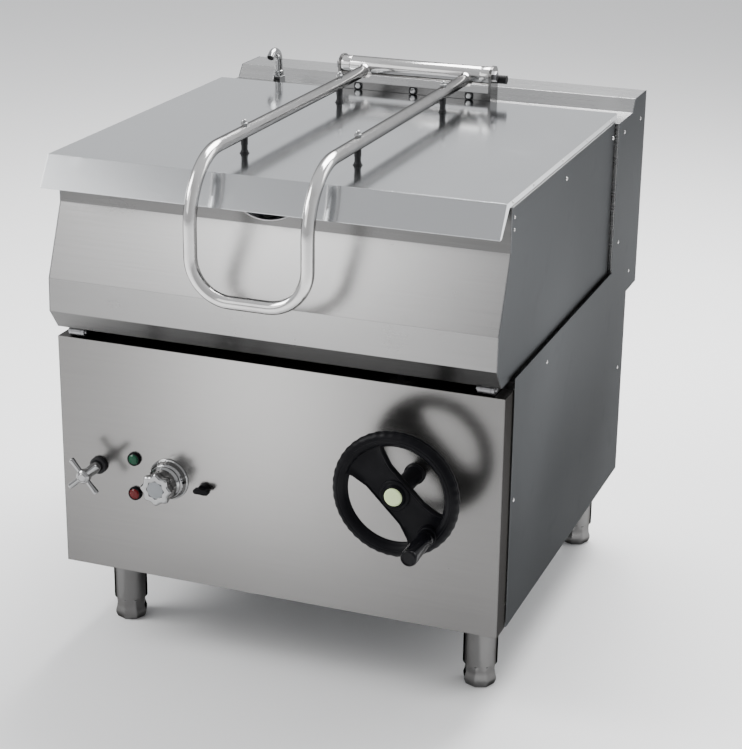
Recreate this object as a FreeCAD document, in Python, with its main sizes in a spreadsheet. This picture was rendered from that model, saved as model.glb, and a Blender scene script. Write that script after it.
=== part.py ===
import FreeCAD, Part
import math
import os

import Sketcher
from FreeCAD import Placement, Rotation, Vector

# Tilting skillet: a shallow cooking vessel hinged at its front lower edge on a sheet steel cabinet.
# X runs to the right seen from the front, Y runs to the rear and Z runs up.
# In the sheet, depths count from the face of the front panel and heights from the floor.
# The origin is on the floor, at the middle of the width and of the depth.

doc = FreeCAD.newDocument("TiltingSkillet")
sheet = doc.addObject("Spreadsheet::Sheet", "Sizes")

SIZES = {
    # Cabinet
    "cabinet_width": 800, "cabinet_depth": 781, "leg_height": 150, "sheet_gauge": 1.5, "panel_height": 420,
    "panel_inset": 2, "panel_return": 45, "side_top": 590, "notch_level": 518, "column_step": 74,
    "column_reach": 200, "column_top": 895, "ledge_level": 872, "slope_reach": 103, "top_reach": 84,
    # Frame
    "bar_size": 40, "bar_wall": 2, "bar_gap": 0.5, "post_front": 47, "post_drop": 20, "rail_setback": 171,
    # Legs
    "leg_inset": 64, "leg_front": 115, "leg_setback": 43, "leg_radius": 30, "leg_wall": 1.5,
    "leg_plate": 80, "leg_plate_gauge": 4, "leg_notch_gap": 2, "sleeve_bottom": 41, "plug_height": 15,
    "foot_radius": 30, "foot_neck": 26, "foot_toe": 26, "foot_gap": 0.5, "foot_stem_radius": 8,
    "foot_stem_length": 60,
    # Pan body
    "pan_clearance": 7, "pan_bottom": 590, "chin_depth": -7, "chest_depth": -33, "chest_level": 625,
    "brow_depth": -31, "brow_level": 682, "shoulder_depth": 18, "shoulder_level": 802, "pan_gap": 8,
    "fascia_return": 22, "rim_level": 878, "rim_gauge": 2, "insulation": 25,
    # Cooking vessel
    "well_side": 43, "well_front": 62, "well_rear": 47, "well_floor": 663, "well_floor_gauge": 8,
    "well_wall": 2.5, "well_corner": 40, "chute_radius": 80, "chute_drop": 53, "chute_gauge": 2,
    "chute_front": -26, "chute_rake": 18,
    "element_radius": 4.5, "element_width": 100, "element_bend": 30, "element_front": 40, "element_back": 30,
    # Lid
    "lid_top": 890, "lid_front": -14, "lid_lip_depth": -45, "lid_lip_level": 840, "lid_lip_hem": 9,
    "lid_overhang": 13, "lid_fold": 10, "liner_margin": 12, "liner_drop": 14,
    # Handle
    "handle_spacing": 200, "handle_tube": 11, "handle_rise": 36, "loop_depth": -92, "loop_bottom": 703,
    "knee_bend": 108, "loop_bend": 68, "post_radius": 6, "post_front_depth": 118, "post_rear": 120,
    "nut_radius": 6.5, "nut_height": 6,
    # Lid hinge
    "hinge_offset": 33, "hinge_rise": 43, "hinge_tube": 17, "hinge_wall": 3, "hinge_length": 292,
    "hinge_bush": 14, "axle_radius": 8, "axle_head": 10, "axle_head_height": 6,
    "cheek_gauge": 5, "cheek_reach": 18, "cheek_tail": 26, "strap_gauge": 4, "strap_height": 30,
    "strap_foot": 62, "strap_bolt": 5, "strap_bolt_place": 110, "buffer_radius": 8, "buffer_length": 20,
    # Fits
    "running_gap": 0.05, "end_gap": 0.5, "seat_gap": 0.3,
    # Tilt hinge
    "tilt_depth": 10, "tilt_level": 579.5, "knuckle_radius": 8, "tilt_pin": 4, "pin_end": 3,
    "knuckle_width": 15, "knuckle_inset": 29, "knuckle_leaf": 50, "knuckle_leaf_gauge": 2,
    "fork_gauge": 6, "fork_foot": 4, "pad_radius": 14, "pad_inset": 113,
    # Tilt gearing
    "gear_module": 4, "pressure_angle": 20, "sector_teeth": 128, "pinion_teeth": 22, "wheel_teeth": 34,
    "worm_starts": 2, "tilt_angle": 75, "backlash": 0.5, "gear_width": 12, "pinion_extra": 2,
    "gear_spacing": 48, "drive_inset": 150, "drive_level": 420, "worm_radius": 22, "worm_length": 60,
    "worm_thinning": 0.35, "shaft_radius": 9, "sector_front": 50, "sector_seat": 184, "sector_rim": 34,
    "sector_window_corner": 10, "sector_flange": 40, "sector_flange_gauge": 3, "wheel_hole": 12,
    "wheel_hole_circle": 38, "bush_wall": 3, "bush_length": 8, "bush_flange": 2.5, "bracket_gauge": 8,
    "bracket_width": 60, "bracket_base": 6, "bracket_left": 22, "bracket_right": 36, "worm_bearing_gap": 24,
    # Handwheel
    "wheel_radius": 107, "wheel_rim": 12, "wheel_lip": 2, "wheel_stand": 90, "web_gauge": 10,
    "web_waist": 28, "web_knee": 44, "web_span": 62, "web_corner": 14, "hub_radius": 25, "hub_front": 13,
    "hub_back": 18, "hub_cap": 15, "hub_cap_depth": 4, "wheel_tilt": 45, "grip_circle": 82, "grip_radius": 14,
    "grip_length": 85, "spindle_radius": 4, "boss_radius": 15, "boss_neck": 12,
    # Controls
    "knob_inset": 206, "knob_level": 338, "knob_radius": 28, "knob_length": 38, "knob_disc": 14,
    "flute_radius": 8, "flute_offset": 4.5, "knob_spindle": 5.5, "collar_radius": 36.5, "collar_length": 16,
    "lamp_inset": 141, "lamp_level": 333, "lamp_pitch": 64, "lamp_radius": 12.5, "lamp_rise": 5.5,
    "lens_radius": 9.5, "lamp_body": 30, "switch_inset": 273, "switch_level": 331, "switch_skirt": 9.5,
    "switch_bar": 28, "switch_bar_width": 9, "switch_spindle": 4.5, "valve_inset": 72, "valve_level": 343,
    "valve_stand": 55, "valve_reach": 35, "valve_arm": 3.6, "valve_collar": 14, "valve_sleeve": 10,
    "valve_spindle": 4.5,
    # Water spout and services
    "spout_inset": 103, "spout_margin": 36, "spout_tube": 6.5, "spout_bore": 5, "spout_bend": 21,
    "spout_rise": 48, "spout_turn": 150, "spout_tip": 6, "spout_nut": 13, "spout_nut_height": 16,
    "spout_washer": 15, "spout_shank": 9.5, "spout_seat": 9, "pipe_radius": 7.5, "pipe_bend": 30,
    "pipe_start": 48, "pipe_turn": 95, "inlet_level": 250, "inlet_radius": 10.5, "inlet_length": 50,
    "gland_inset": 150, "gland_level": 230, "gland_bore": 7, "gland_wall": 3, "gland_flange": 8,
    "terminal_inset": 100, "terminal_width": 200, "terminal_depth": 120, "terminal_height": 90,
}

# Places that follow from the driving sizes, kept in the sheet as formulas.
FORMULAS = {
    "column_depth": "cabinet_depth + column_step",
    "column_front": "column_depth - column_reach",
    "slope_front": "column_depth - slope_reach",
    "slope_back": "column_depth - top_reach",
    "rail_depth": "cabinet_depth - rail_setback",
    "leg_spacing": "cabinet_width - 2 * leg_inset",
    "leg_rear": "cabinet_depth - leg_setback",
    "pan_width": "cabinet_width - 2 * pan_clearance",
    "pan_back": "column_front - pan_gap",
    "well_width": "pan_width - 2 * well_side",
    "well_back": "pan_back - well_rear",
    "lid_back": "pan_back + lid_overhang",
    "hinge_depth": "pan_back + hinge_offset",
    "cheek_front": "hinge_depth - cheek_reach",
    "cheek_back": "hinge_depth + cheek_tail",
    "post_rear_depth": "lid_back - post_rear",
    "knuckle_place": "pan_width / 2 - knuckle_inset",
    "pad_place": "pan_width / 2 - pad_inset",
    "drive_place": "cabinet_width / 2 - drive_inset",
    "sector_place": "drive_place - gear_spacing",
    "knob_place": "knob_inset - cabinet_width / 2",
    "lamp_place": "lamp_inset - cabinet_width / 2",
    "switch_place": "switch_inset - cabinet_width / 2",
    "valve_place": "valve_inset - cabinet_width / 2",
    "spout_place": "spout_inset - cabinet_width / 2",
    "gland_place": "cabinet_width / 2 - gland_inset",
    "spout_depth": "slope_front - spout_margin",
}


def fill_sheet():
    """Write every size as plain text and every formula into the sheet, each with its alias."""
    entries = [(alias, str(size)) for alias, size in SIZES.items()]
    entries += [(alias, "=" + formula) for alias, formula in FORMULAS.items()]
    for row, (alias, content) in enumerate(entries, start=1):
        sheet.set("A%d" % row, alias)
        sheet.set("B%d" % row, content)
        sheet.setAlias("B%d" % row, alias)
    doc.recompute()


def named(text):
    """Turn the bare size names of an expression into references to the sheet."""
    words = []
    word = ""
    for letter in str(text) + " ":
        if letter.isalnum() or letter == "_" or (letter == "." and word):
            word += letter
            continue
        words.append("Sizes." + word if word in SIZES or word in FORMULAS else word)
        words.append(letter)
        word = ""
    return "".join(words).strip()


def size(text):
    """Number that an expression of size names gives."""
    return float(sheet.evalExpression(named(text)))


fill_sheet()

# The frontmost point is the end of the crank grip and the rearmost is the back of the column.
GRIP_CLEARANCE = "4"
GRIP_END = "(wheel_stand + wheel_rim + grip_length + %s)" % GRIP_CLEARANCE
SETBACK = "(column_depth - %s) / 2" % GRIP_END
WELL_BOTTOM = "(well_floor - well_floor_gauge)"
HINGE_LEVEL = "(lid_top + hinge_rise)"
TUBE_LEVEL = "(lid_top + handle_rise)"
SECTOR_RADIUS = "(gear_module * sector_teeth / 2)"
PINION_RADIUS = "(gear_module * pinion_teeth / 2)"
WORM_WHEEL_RADIUS = "(gear_module * wheel_teeth / 2)"
CROSS_LEVEL = "(drive_level + worm_radius + %s)" % WORM_WHEEL_RADIUS

# The cross shaft lies behind the tilt axis at the distance at which pinion and quadrant mesh.
GEAR_CENTRES = size(SECTOR_RADIUS) + size(PINION_RADIUS)
CROSS_DROP = size("tilt_level - %s" % CROSS_LEVEL)
CROSS_REACH = math.sqrt(GEAR_CENTRES ** 2 - CROSS_DROP ** 2)
CROSS_DEPTH = size("tilt_depth") + CROSS_REACH
MESH_ANGLE = math.degrees(math.atan2(-CROSS_DROP, CROSS_REACH))

UP = Vector(0, 0, 1)
ACROSS = Vector(1, 0, 0)
REAR = Vector(0, 1, 0)

parts = []


def listed(item, label):
    """Give a sub-part its label and list it for export."""
    item.Label = label
    parts.append(item)
    return item


def placed(body, x, y, z):
    """Tie a body's place to the sheet, with its depth counted from the front panel."""
    body.setExpression("Placement.Base.x", named(x))
    body.setExpression("Placement.Base.y", named("%s - %s" % (y, SETBACK)))
    body.setExpression("Placement.Base.z", named(z))


class Piece:
    """One sub-part made of sketches and the features on them."""

    def __init__(self, label):
        self.label = label
        self.body = doc.addObject("PartDesign::Body", label.title().replace("_", ""))

    def plane(self, role):
        """Plane or axis of the body's origin by its role."""
        return [item for item in self.body.Origin.OriginFeatures if item.Role == role][0]

    def sketch(self, role, shift=None):
        """Sketch on an origin plane, moved along the plane's normal."""
        drawing = self.body.newObject("Sketcher::SketchObject", "Sketch")
        drawing.AttachmentSupport = [(self.plane(role), "")]
        drawing.MapMode = "FlatFace"
        if shift is not None:
            drawing.setExpression("AttachmentOffset.Base.z", named(shift))
        return drawing

    def polygon(self, role, points, shift=None):
        """Closed outline through points that are given as pairs of expressions."""
        drawing = self.sketch(role, shift)
        corners = [Vector(size(x), size(y), 0) for x, y in points]
        count = len(corners)
        for index in range(count):
            drawing.addGeometry(Part.LineSegment(corners[index], corners[(index + 1) % count]))
        for index in range(count):
            drawing.addConstraint(Sketcher.Constraint("Coincident", index, 2, (index + 1) % count, 1))
        for index, point in enumerate(points):
            for kind, text in zip(("DistanceX", "DistanceY"), point):
                entry = Sketcher.Constraint(kind, -1, 1, index, 1, size(text))
                number = drawing.addConstraint(entry)
                drawing.setExpression("Constraints[%d]" % number, named(text))
        return drawing

    def rectangle(self, role, low, high, shift=None):
        """Rectangle from its low corner to its high corner."""
        points = [(low[0], low[1]), (high[0], low[1]), (high[0], high[1]), (low[0], high[1])]
        return self.polygon(role, points, shift)

    def rounded(self, role, low, high, radius, shift=None):
        """Rectangle with equal arcs in its corners."""
        drawing = self.sketch(role, shift)
        left = "%s + %s" % (low[0], radius)
        right = "%s - (%s)" % (high[0], radius)
        near = "%s + %s" % (low[1], radius)
        far = "%s - (%s)" % (high[1], radius)
        centres = [(right, near), (right, far), (left, far), (left, near)]
        arcs = []
        for index, (x, y) in enumerate(centres):
            ring = Part.Circle(Vector(size(x), size(y), 0), Vector(0, 0, 1), size(radius))
            start = math.radians(90 * index - 90)
            arcs.append(Part.ArcOfCircle(ring, start, start + math.pi / 2))
            drawing.addGeometry(arcs[-1])
        for index in range(4):
            following = arcs[(index + 1) % 4]
            drawing.addGeometry(Part.LineSegment(arcs[index].EndPoint, following.StartPoint))
        for index in range(4):
            drawing.addConstraint(Sketcher.Constraint("Tangent", index, 2, index + 4, 1))
            drawing.addConstraint(Sketcher.Constraint("Tangent", index + 4, 2, (index + 1) % 4, 1))
        for index, (x, y) in enumerate(centres):
            entries = (
                (Sketcher.Constraint("DistanceX", -1, 1, index, 3, size(x)), x),
                (Sketcher.Constraint("DistanceY", -1, 1, index, 3, size(y)), y),
                (Sketcher.Constraint("Radius", index, size(radius)), radius),
            )
            for entry, text in entries:
                number = drawing.addConstraint(entry)
                drawing.setExpression("Constraints[%d]" % number, named(text))
        return drawing

    def circles(self, role, centres, radius, shift=None):
        """Equal circles about centres that are given as pairs of expressions."""
        drawing = self.sketch(role, shift)
        for index, (x, y) in enumerate(centres):
            centre = Vector(size(x), size(y), 0)
            drawing.addGeometry(Part.Circle(centre, Vector(0, 0, 1), size(radius)))
            entries = (
                (Sketcher.Constraint("DistanceX", -1, 1, index, 3, centre.x), x),
                (Sketcher.Constraint("DistanceY", -1, 1, index, 3, centre.y), y),
                (Sketcher.Constraint("Radius", index, size(radius)), radius),
            )
            for entry, text in entries:
                number = drawing.addConstraint(entry)
                drawing.setExpression("Constraints[%d]" % number, named(text))
        return drawing

    def add(self, kind, drawing, length, both, turned):
        """Pad or pocket of a sketch."""
        feature = self.body.newObject("PartDesign::" + kind, kind)
        feature.Profile = drawing
        feature.Midplane = both
        feature.Reversed = turned
        feature.setExpression("Length", named(length))
        return feature

    def pad(self, drawing, length, both=False, turned=False):
        return self.add("Pad", drawing, length, both, turned)

    def pocket(self, drawing, length, both=False, turned=False):
        """Pocket whose loss of volume is checked, because a wrong direction cuts nothing."""
        doc.recompute()
        before = self.body.Shape.Volume
        feature = self.add("Pocket", drawing, length, both, turned)
        doc.recompute()
        if self.body.Shape.Volume > before - 0.001:
            raise ValueError("a pocket of %s cuts nothing" % self.label)
        return feature

    def revolve(self, drawing, axis="V_Axis", kind="Revolution"):
        """Full turn of a sketch about one of its axes."""
        feature = self.body.newObject("PartDesign::" + kind, kind)
        feature.Profile = drawing
        feature.ReferenceAxis = (drawing, [axis])
        feature.Angle = 360
        return feature

    def shell(self, is_open, wall="sheet_gauge"):
        """Hollow the solid inward to a wall, open where is_open(centre, normal) holds."""
        doc.recompute()
        base = self.body.Tip
        faces = []
        for index, face in enumerate(base.Shape.Faces, start=1):
            if is_open(face.CenterOfMass, face.normalAt(0, 0)):
                faces.append("Face%d" % index)
        feature = self.body.newObject("PartDesign::Thickness", "Thickness")
        feature.Base = (base, faces)
        feature.Reversed = True
        feature.Join = 1
        feature.setExpression("Value", named(wall))
        return feature

    def edges(self, kind, amount, chosen):
        """Fillet or chamfer of the edges for which chosen(edge) holds."""
        doc.recompute()
        base = self.body.Tip
        names = []
        for index, edge in enumerate(base.Shape.Edges, start=1):
            if chosen(edge):
                names.append("Edge%d" % index)
        feature = self.body.newObject("PartDesign::" + kind, kind)
        feature.Base = (base, names)
        feature.setExpression("Radius" if kind == "Fillet" else "Size", named(amount))
        return feature

    def polar(self, original, axis_role, count):
        """Equal copies of a feature about an origin axis."""
        feature = self.body.newObject("PartDesign::PolarPattern", "Pattern")
        feature.Originals = [original]
        feature.Axis = (self.plane(axis_role), [""])
        feature.Angle = 360
        feature.Occurrences = count
        self.body.Tip = feature
        return feature

    def done(self):
        """Shift the body to the common origin and list it."""
        placed(self.body, "0", "0", "0")
        return listed(self.body, self.label)


def along(edge, axis):
    """True for a straight edge that runs along a named axis."""
    if not isinstance(edge.Curve, Part.Line):
        return False
    direction = edge.Curve.Direction
    return abs(getattr(direction, axis)) > 0.999


def facing_front(body, x, y, z, spin=0):
    """Place a body so that its own upward axis points forward, spun about that axis by an angle."""
    forward = Rotation(ACROSS, 90)
    body.Placement = Placement(Vector(0, 0, 0), forward.multiply(Rotation(UP, spin)))
    placed(body, x, y, z)


def spun(label, outline, x, z):
    """Piece turned about a line square to the front panel, through a place on the panel.

    The outline pairs a radius with a distance in front of the panel."""
    piece = Piece(label)
    piece.revolve(piece.polygon("XZ_Plane", outline))
    facing_front(piece.body, x, "0", z)
    return listed(piece.body, label)


def feature(label, shape):
    """Sub-part whose shape is worked out from the sheet, shifted to the common origin."""
    item = doc.addObject("Part::Feature", label.title().replace("_", ""))
    item.Shape = shape
    item.Placement = Placement(Vector(0, -size(SETBACK), 0), Rotation())
    return listed(item, label)


def compound(label, solids):
    """Sub-part of several separate solids."""
    return feature(label, Part.makeCompound(solids))


def block(x0, x1, y0, y1, z0, z1):
    """Box between two corners given as expressions."""
    low = Vector(size(x0), size(y0), size(z0))
    high = Vector(size(x1), size(y1), size(z1))
    span = high - low
    return Part.makeBox(span.x, span.y, span.z, low)


def rod(radius, start, end):
    """Cylinder between two points."""
    span = end - start
    return Part.makeCylinder(radius, span.Length, start, span)


def sleeve(outer, inner, start, end):
    """Tube between two points, cut right through."""
    over = (end - start).normalize()
    return rod(outer, start, end).cut(rod(inner, start - over, end + over))


def hexagon(radius, centre, axis, height):
    """Six-sided block on a point, with its corners at a radius from the axis."""
    side = ACROSS if abs(axis.x) < 0.5 else UP
    corners = [centre + Rotation(axis, 60 * index).multVec(side) * radius for index in range(6)]
    return Part.Face(Part.makePolygon(corners + [corners[0]])).extrude(axis * height)


def pipe(points, bends, radius):
    """Round bar along straight runs that tangent arcs join, one bend radius to a corner."""
    edges = []
    start = points[0]
    for index, bend in enumerate(bends, start=1):
        corner = points[index]
        back = (points[index - 1] - corner).normalize()
        ahead = (points[index + 1] - corner).normalize()
        half = back.getAngle(ahead) / 2
        reach = bend / math.tan(half)
        middle = (back + ahead).normalize()
        centre = corner + middle * (bend / math.sin(half))
        first = corner + back * reach
        last = corner + ahead * reach
        edges.append(Part.LineSegment(start, first).toShape())
        edges.append(Part.Arc(first, centre - middle * bend, last).toShape())
        start = last
    edges.append(Part.LineSegment(start, points[-1]).toShape())
    ring = Part.Wire(Part.makeCircle(radius, points[0], points[1] - points[0]))
    return Part.Wire(edges).makePipe(Part.Face(ring))


def involute(teeth, radius):
    """Half the angle that a tooth takes at a radius, in radians."""
    pressure = math.radians(size("pressure_angle"))
    pitch = size("gear_module") * teeth / 2
    base = pitch * math.cos(pressure)
    angle = math.acos(min(1, base / max(radius, base)))
    thinning = size("backlash") / (4 * pitch)
    start = math.tan(pressure) - pressure
    return math.pi / (2 * teeth) - thinning + start - (math.tan(angle) - angle)


def gear_points(teeth, first, count, depth, level):
    """Tooth flanks and tips in the YZ plane, from the centre angle of the first tooth on."""
    module = size("gear_module")
    pitch = module * teeth / 2
    radii = [pitch + share * module for share in (-1.25, -0.5, 0.2, 1)]
    points = []
    for tooth in range(count):
        centre = math.radians(first) + tooth * 2 * math.pi / teeth
        for side, order in ((-1, radii), (1, radii[::-1])):
            for radius in order:
                angle = centre + side * involute(teeth, radius)
                points.append(Vector(0, depth + radius * math.cos(angle), level + radius * math.sin(angle)))
    return points


def plate(points, x0, width):
    """Plate with an outline in the YZ plane, from x0 to x0 + width."""
    face = Part.Face(Part.makePolygon(points + [points[0]]))
    solid = face.extrude(ACROSS * width)
    solid.translate(ACROSS * x0)
    return solid


# Cabinet panels

HALF = "cabinet_width / 2"
CABINET_BOTTOM = "leg_height"
PANEL_TOP = "(leg_height + panel_height)"
SIDE_OUTLINE = [
    ("panel_return", CABINET_BOTTOM), ("cabinet_depth", CABINET_BOTTOM), ("cabinet_depth", "notch_level"),
    ("column_depth", "notch_level"), ("column_depth", "column_top"), ("slope_back", "column_top"),
    ("slope_front", "ledge_level"), ("column_front", "ledge_level"), ("column_front", "side_top"),
    ("panel_return", "side_top"),
]


def front_panel():
    """Folded tray that faces forward, with holes for what passes through it."""
    piece = Piece("front_panel")
    half = "(%s - panel_inset)" % HALF
    outline = piece.rectangle("XZ_Plane", ("-" + half, CABINET_BOTTOM), (half, PANEL_TOP))
    piece.pad(outline, "panel_return", turned=True)
    piece.shell(lambda centre, normal: normal.y > 0.9)
    holes = (
        ("drive_place", "drive_level", "boss_neck"),
        ("knob_place", "knob_level", "knob_spindle + end_gap"),
        ("lamp_place", "lamp_level + lamp_pitch / 2", "lens_radius"),
        ("lamp_place", "lamp_level - lamp_pitch / 2", "lens_radius"),
        ("switch_place", "switch_level", "switch_spindle + end_gap"),
        ("valve_place", "valve_level", "valve_sleeve"),
    )
    for x, z, radius in holes:
        piece.pocket(piece.circles("XZ_Plane", [(x, z)], radius), "2 * sheet_gauge", both=True)
    return piece.done()


def side_panel(label, side):
    """Plate that covers one side of the cabinet and of the rear column."""
    piece = Piece(label)
    shift = "%s - sheet_gauge" % HALF if side > 0 else "-(%s)" % HALF
    piece.pad(piece.polygon("YZ_Plane", SIDE_OUTLINE, shift), "sheet_gauge")
    return piece.done()


def column_cover():
    """Bent sheet that makes the column's front wall, ledge, slope and top."""
    piece = Piece("column_cover")
    outline = [
        ("column_front", "side_top - bar_size"), ("column_depth - sheet_gauge", "side_top - bar_size"),
        ("column_depth - sheet_gauge", "column_top"), ("slope_back", "column_top"),
        ("slope_front", "ledge_level"), ("column_front", "ledge_level"),
    ]
    piece.pad(piece.polygon("YZ_Plane", outline), "cabinet_width - 2 * sheet_gauge", both=True)
    piece.shell(lambda centre, normal: abs(normal.x) > 0.9 or normal.z < -0.9 or normal.y > 0.9)
    riser = piece.circles("XY_Plane", [("spout_place", "spout_depth")], "spout_shank", "ledge_level")
    piece.pocket(riser, "4 * sheet_gauge")
    return piece.done()


def rear_panel():
    """Flat sheet that closes the back below the column's step, with holes for water and power."""
    piece = Piece("rear_panel")
    half = "(%s - sheet_gauge)" % HALF
    back = "-cabinet_depth"
    outline = piece.rectangle("XZ_Plane", ("-" + half, CABINET_BOTTOM), (half, "notch_level"), back)
    piece.pad(outline, "sheet_gauge")
    for x, z, radius in (("valve_place", "inlet_level", "inlet_radius + 1"),
                         ("gland_place", "gland_level", "gland_bore + gland_wall")):
        hole = piece.circles("XZ_Plane", [(x, z)], radius, back)
        piece.pocket(hole, "4 * sheet_gauge", both=True)
    return piece.done()


def column_back():
    """Bent sheet that makes the underside of the column's step and its back."""
    piece = Piece("column_back")
    low = ("cabinet_depth - sheet_gauge", "notch_level")
    high = ("column_depth", "column_top - sheet_gauge")
    piece.pad(piece.rectangle("YZ_Plane", low, high), "cabinet_width - 2 * sheet_gauge", both=True)
    piece.shell(lambda centre, normal: abs(normal.x) > 0.9 or normal.y < -0.9 or normal.z > 0.9)
    return piece.done()


def bottom_panel():
    """Closing plate under the frame, notched at the legs."""
    piece = Piece("bottom_panel")
    half = "(%s - panel_inset - 2 * sheet_gauge)" % HALF
    low = ("-" + half, "post_front")
    high = (half, "cabinet_depth - 2 * sheet_gauge")
    level = "leg_height + leg_plate_gauge"
    piece.pad(piece.rectangle("XY_Plane", low, high, level + " - sheet_gauge"), "sheet_gauge")
    reach = "(leg_plate / 2 + leg_notch_gap)"
    for _, x, depth in leg_places():
        corner = ("%s - %s" % (x, reach), "%s - %s" % (depth, reach))
        other = ("%s + %s" % (x, reach), "%s + %s" % (depth, reach))
        piece.pocket(piece.rectangle("XY_Plane", corner, other, level), "4 * sheet_gauge")
    return piece.done()


# Welded frame of square tube

FRAME_HALF = "(%s - panel_inset - sheet_gauge - bar_gap)" % HALF
FRAME_LOW = "(leg_height + leg_plate_gauge)"
FRAME_INNER = "(%s - bar_size)" % FRAME_HALF
FRAME_BACK = "(cabinet_depth - sheet_gauge)"
BRACKET_LEVEL = "(tilt_level - knuckle_radius - fork_foot)"
POST_TOP = "(ledge_level - post_drop)"


def frame_bars():
    """Ends of every bar as expressions, with the letter of the axis that it runs along."""
    bars = []
    floor = (FRAME_LOW, FRAME_LOW + " + bar_size")
    rail = ("side_top - 2 * bar_size", "side_top - bar_size")
    for x0, x1 in ((FRAME_INNER, FRAME_HALF), ("-" + FRAME_HALF, "-" + FRAME_INNER)):
        bars.append(("y", x0, x1, "post_front", FRAME_BACK) + floor)
        bars.append(("y", x0, x1, "post_front", FRAME_BACK) + rail)
        bars.append(("z", x0, x1, "post_front", "post_front + bar_size", FRAME_LOW, BRACKET_LEVEL))
        bars.append(("z", x0, x1, FRAME_BACK + " - bar_size", FRAME_BACK, FRAME_LOW, POST_TOP))
    for middle, heights in (("leg_front", floor), ("leg_rear", floor), ("rail_depth", rail),
                            (str(CROSS_DEPTH), floor)):
        near = middle + " - bar_size / 2"
        far = middle + " + bar_size / 2"
        bars.append(("x", "-" + FRAME_HALF, FRAME_HALF, near, far) + heights)
    return bars


def base_frame():
    """Square tubes welded into one frame, hollow along their length."""
    solids = []
    hollows = []
    wall = size("bar_wall")
    for axis, x0, x1, y0, y1, z0, z1 in frame_bars():
        outer = block(x0, x1, y0, y1, z0, z1)
        box = outer.BoundBox
        shrink = Vector(*(0 if axis == letter else wall for letter in "xyz"))
        low = Vector(box.XMin, box.YMin, box.ZMin) + shrink
        span = Vector(box.XLength, box.YLength, box.ZLength) - shrink * 2
        solids.append(outer)
        hollows.append(Part.makeBox(span.x, span.y, span.z, low))
    frame = solids[0].fuse(solids[1:]).cut(hollows[0].fuse(hollows[1:]))
    return feature("base_frame", frame.removeSplitter())


# Legs

def leg_places():
    """Name, sideways place and depth of each leg."""
    for name, sign in (("left", "-"), ("right", "")):
        for end in ("front", "rear"):
            yield end + "_" + name, "%sleg_spacing / 2" % sign, "leg_" + end


def leg_sleeves():
    """Four tube legs, each with a top plate and a plug that guides its foot."""
    solids = []
    plug = size("plug_height")
    for _, x, y in leg_places():
        low = Vector(size(x), size(y), size("sleeve_bottom"))
        top = Vector(low.x, low.y, size(FRAME_LOW))
        roof = top - UP * size("leg_plate_gauge")
        outer = rod(size("leg_radius"), low, top)
        bore = rod(size("leg_radius - leg_wall"), low + UP * plug, roof)
        guide = rod(size("foot_stem_radius + running_gap"), low, low + UP * plug)
        cap = block("%s - leg_plate / 2" % x, "%s + leg_plate / 2" % x, "%s - leg_plate / 2" % y,
                    "%s + leg_plate / 2" % y, CABINET_BOTTOM, FRAME_LOW)
        solids.append(outer.cut(bore.fuse(guide)).fuse(cap))
    return compound("leg_sleeves", solids)


def adjustable_foot(name, x, y):
    """Eight-sided foot, waisted under its leg, with the stem that screws into the leg."""
    piece = Piece("foot_" + name)
    sides = 8
    corner = size("foot_radius")
    drawing = piece.sketch("XY_Plane")
    angles = [math.radians(360 / sides * (index + 0.5)) for index in range(sides)]
    corners = [Vector(corner * math.cos(angle), corner * math.sin(angle), 0) for angle in angles]
    for index in range(sides):
        drawing.addGeometry(Part.LineSegment(corners[index], corners[(index + 1) % sides]))
    for index in range(sides):
        drawing.addConstraint(Sketcher.Constraint("Coincident", index, 2, (index + 1) % sides, 1))
    drawing.addGeometry(Part.Circle(Vector(0, 0, 0), UP, corner), True)
    number = drawing.addConstraint(Sketcher.Constraint("Radius", sides, corner))
    drawing.setExpression("Constraints[%d]" % number, named("foot_radius"))
    drawing.addConstraint(Sketcher.Constraint("Coincident", sides, 3, -1, 1))
    for index in range(sides):
        drawing.addConstraint(Sketcher.Constraint("PointOnObject", index, 1, sides))
    top = "(sleeve_bottom - foot_gap)"
    piece.pad(drawing, top)
    outside = "foot_radius * 1.4"
    waist = [
        ("foot_neck", "%s + 1" % top), ("foot_neck", "%s * 0.7" % top),
        ("foot_neck + 0.5", "%s * 0.55" % top), ("foot_radius", "%s * 0.3" % top),
        ("foot_radius", "%s * 0.15" % top), ("foot_toe", "0"), ("foot_toe", "-1"), (outside, "-1"),
        (outside, "%s + 1" % top),
    ]
    piece.revolve(piece.polygon("XZ_Plane", waist), kind="Groove")
    stem = piece.circles("XY_Plane", [("0", "0")], "foot_stem_radius", top)
    piece.pad(stem, "foot_stem_length")
    placed(piece.body, x, y, "0")
    return listed(piece.body, piece.label)


# Pan body

PAN_HALF = "(pan_width / 2)"
SKIN_TOP = "(rim_level - rim_gauge)"
FASCIA = [
    ("chin_depth", "pan_bottom"), ("chest_depth", "chest_level"), ("brow_depth", "brow_level"),
    ("shoulder_depth", "shoulder_level"), ("shoulder_depth", SKIN_TOP),
]
FASCIA_BACK = "(shoulder_depth + fascia_return)"
CHUTE_LEVEL = "rim_level - chute_drop + chute_radius"


def pan_fascia():
    """Creased front sheet with folded edges, cut away at the pouring chute."""
    piece = Piece("pan_fascia")
    outline = FASCIA + [(FASCIA_BACK, SKIN_TOP), (FASCIA_BACK, "pan_bottom")]
    piece.pad(piece.polygon("YZ_Plane", outline), "pan_width - 2 * sheet_gauge", both=True)
    piece.shell(lambda centre, normal: abs(normal.x) > 0.9 or normal.y > 0.9)
    notch = piece.circles("XZ_Plane", [("0", CHUTE_LEVEL)], "chute_radius + chute_gauge", "-" + FASCIA_BACK)
    piece.pocket(notch, "2 * (%s - chute_front)" % FASCIA_BACK, both=True)
    return piece.done()


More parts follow.
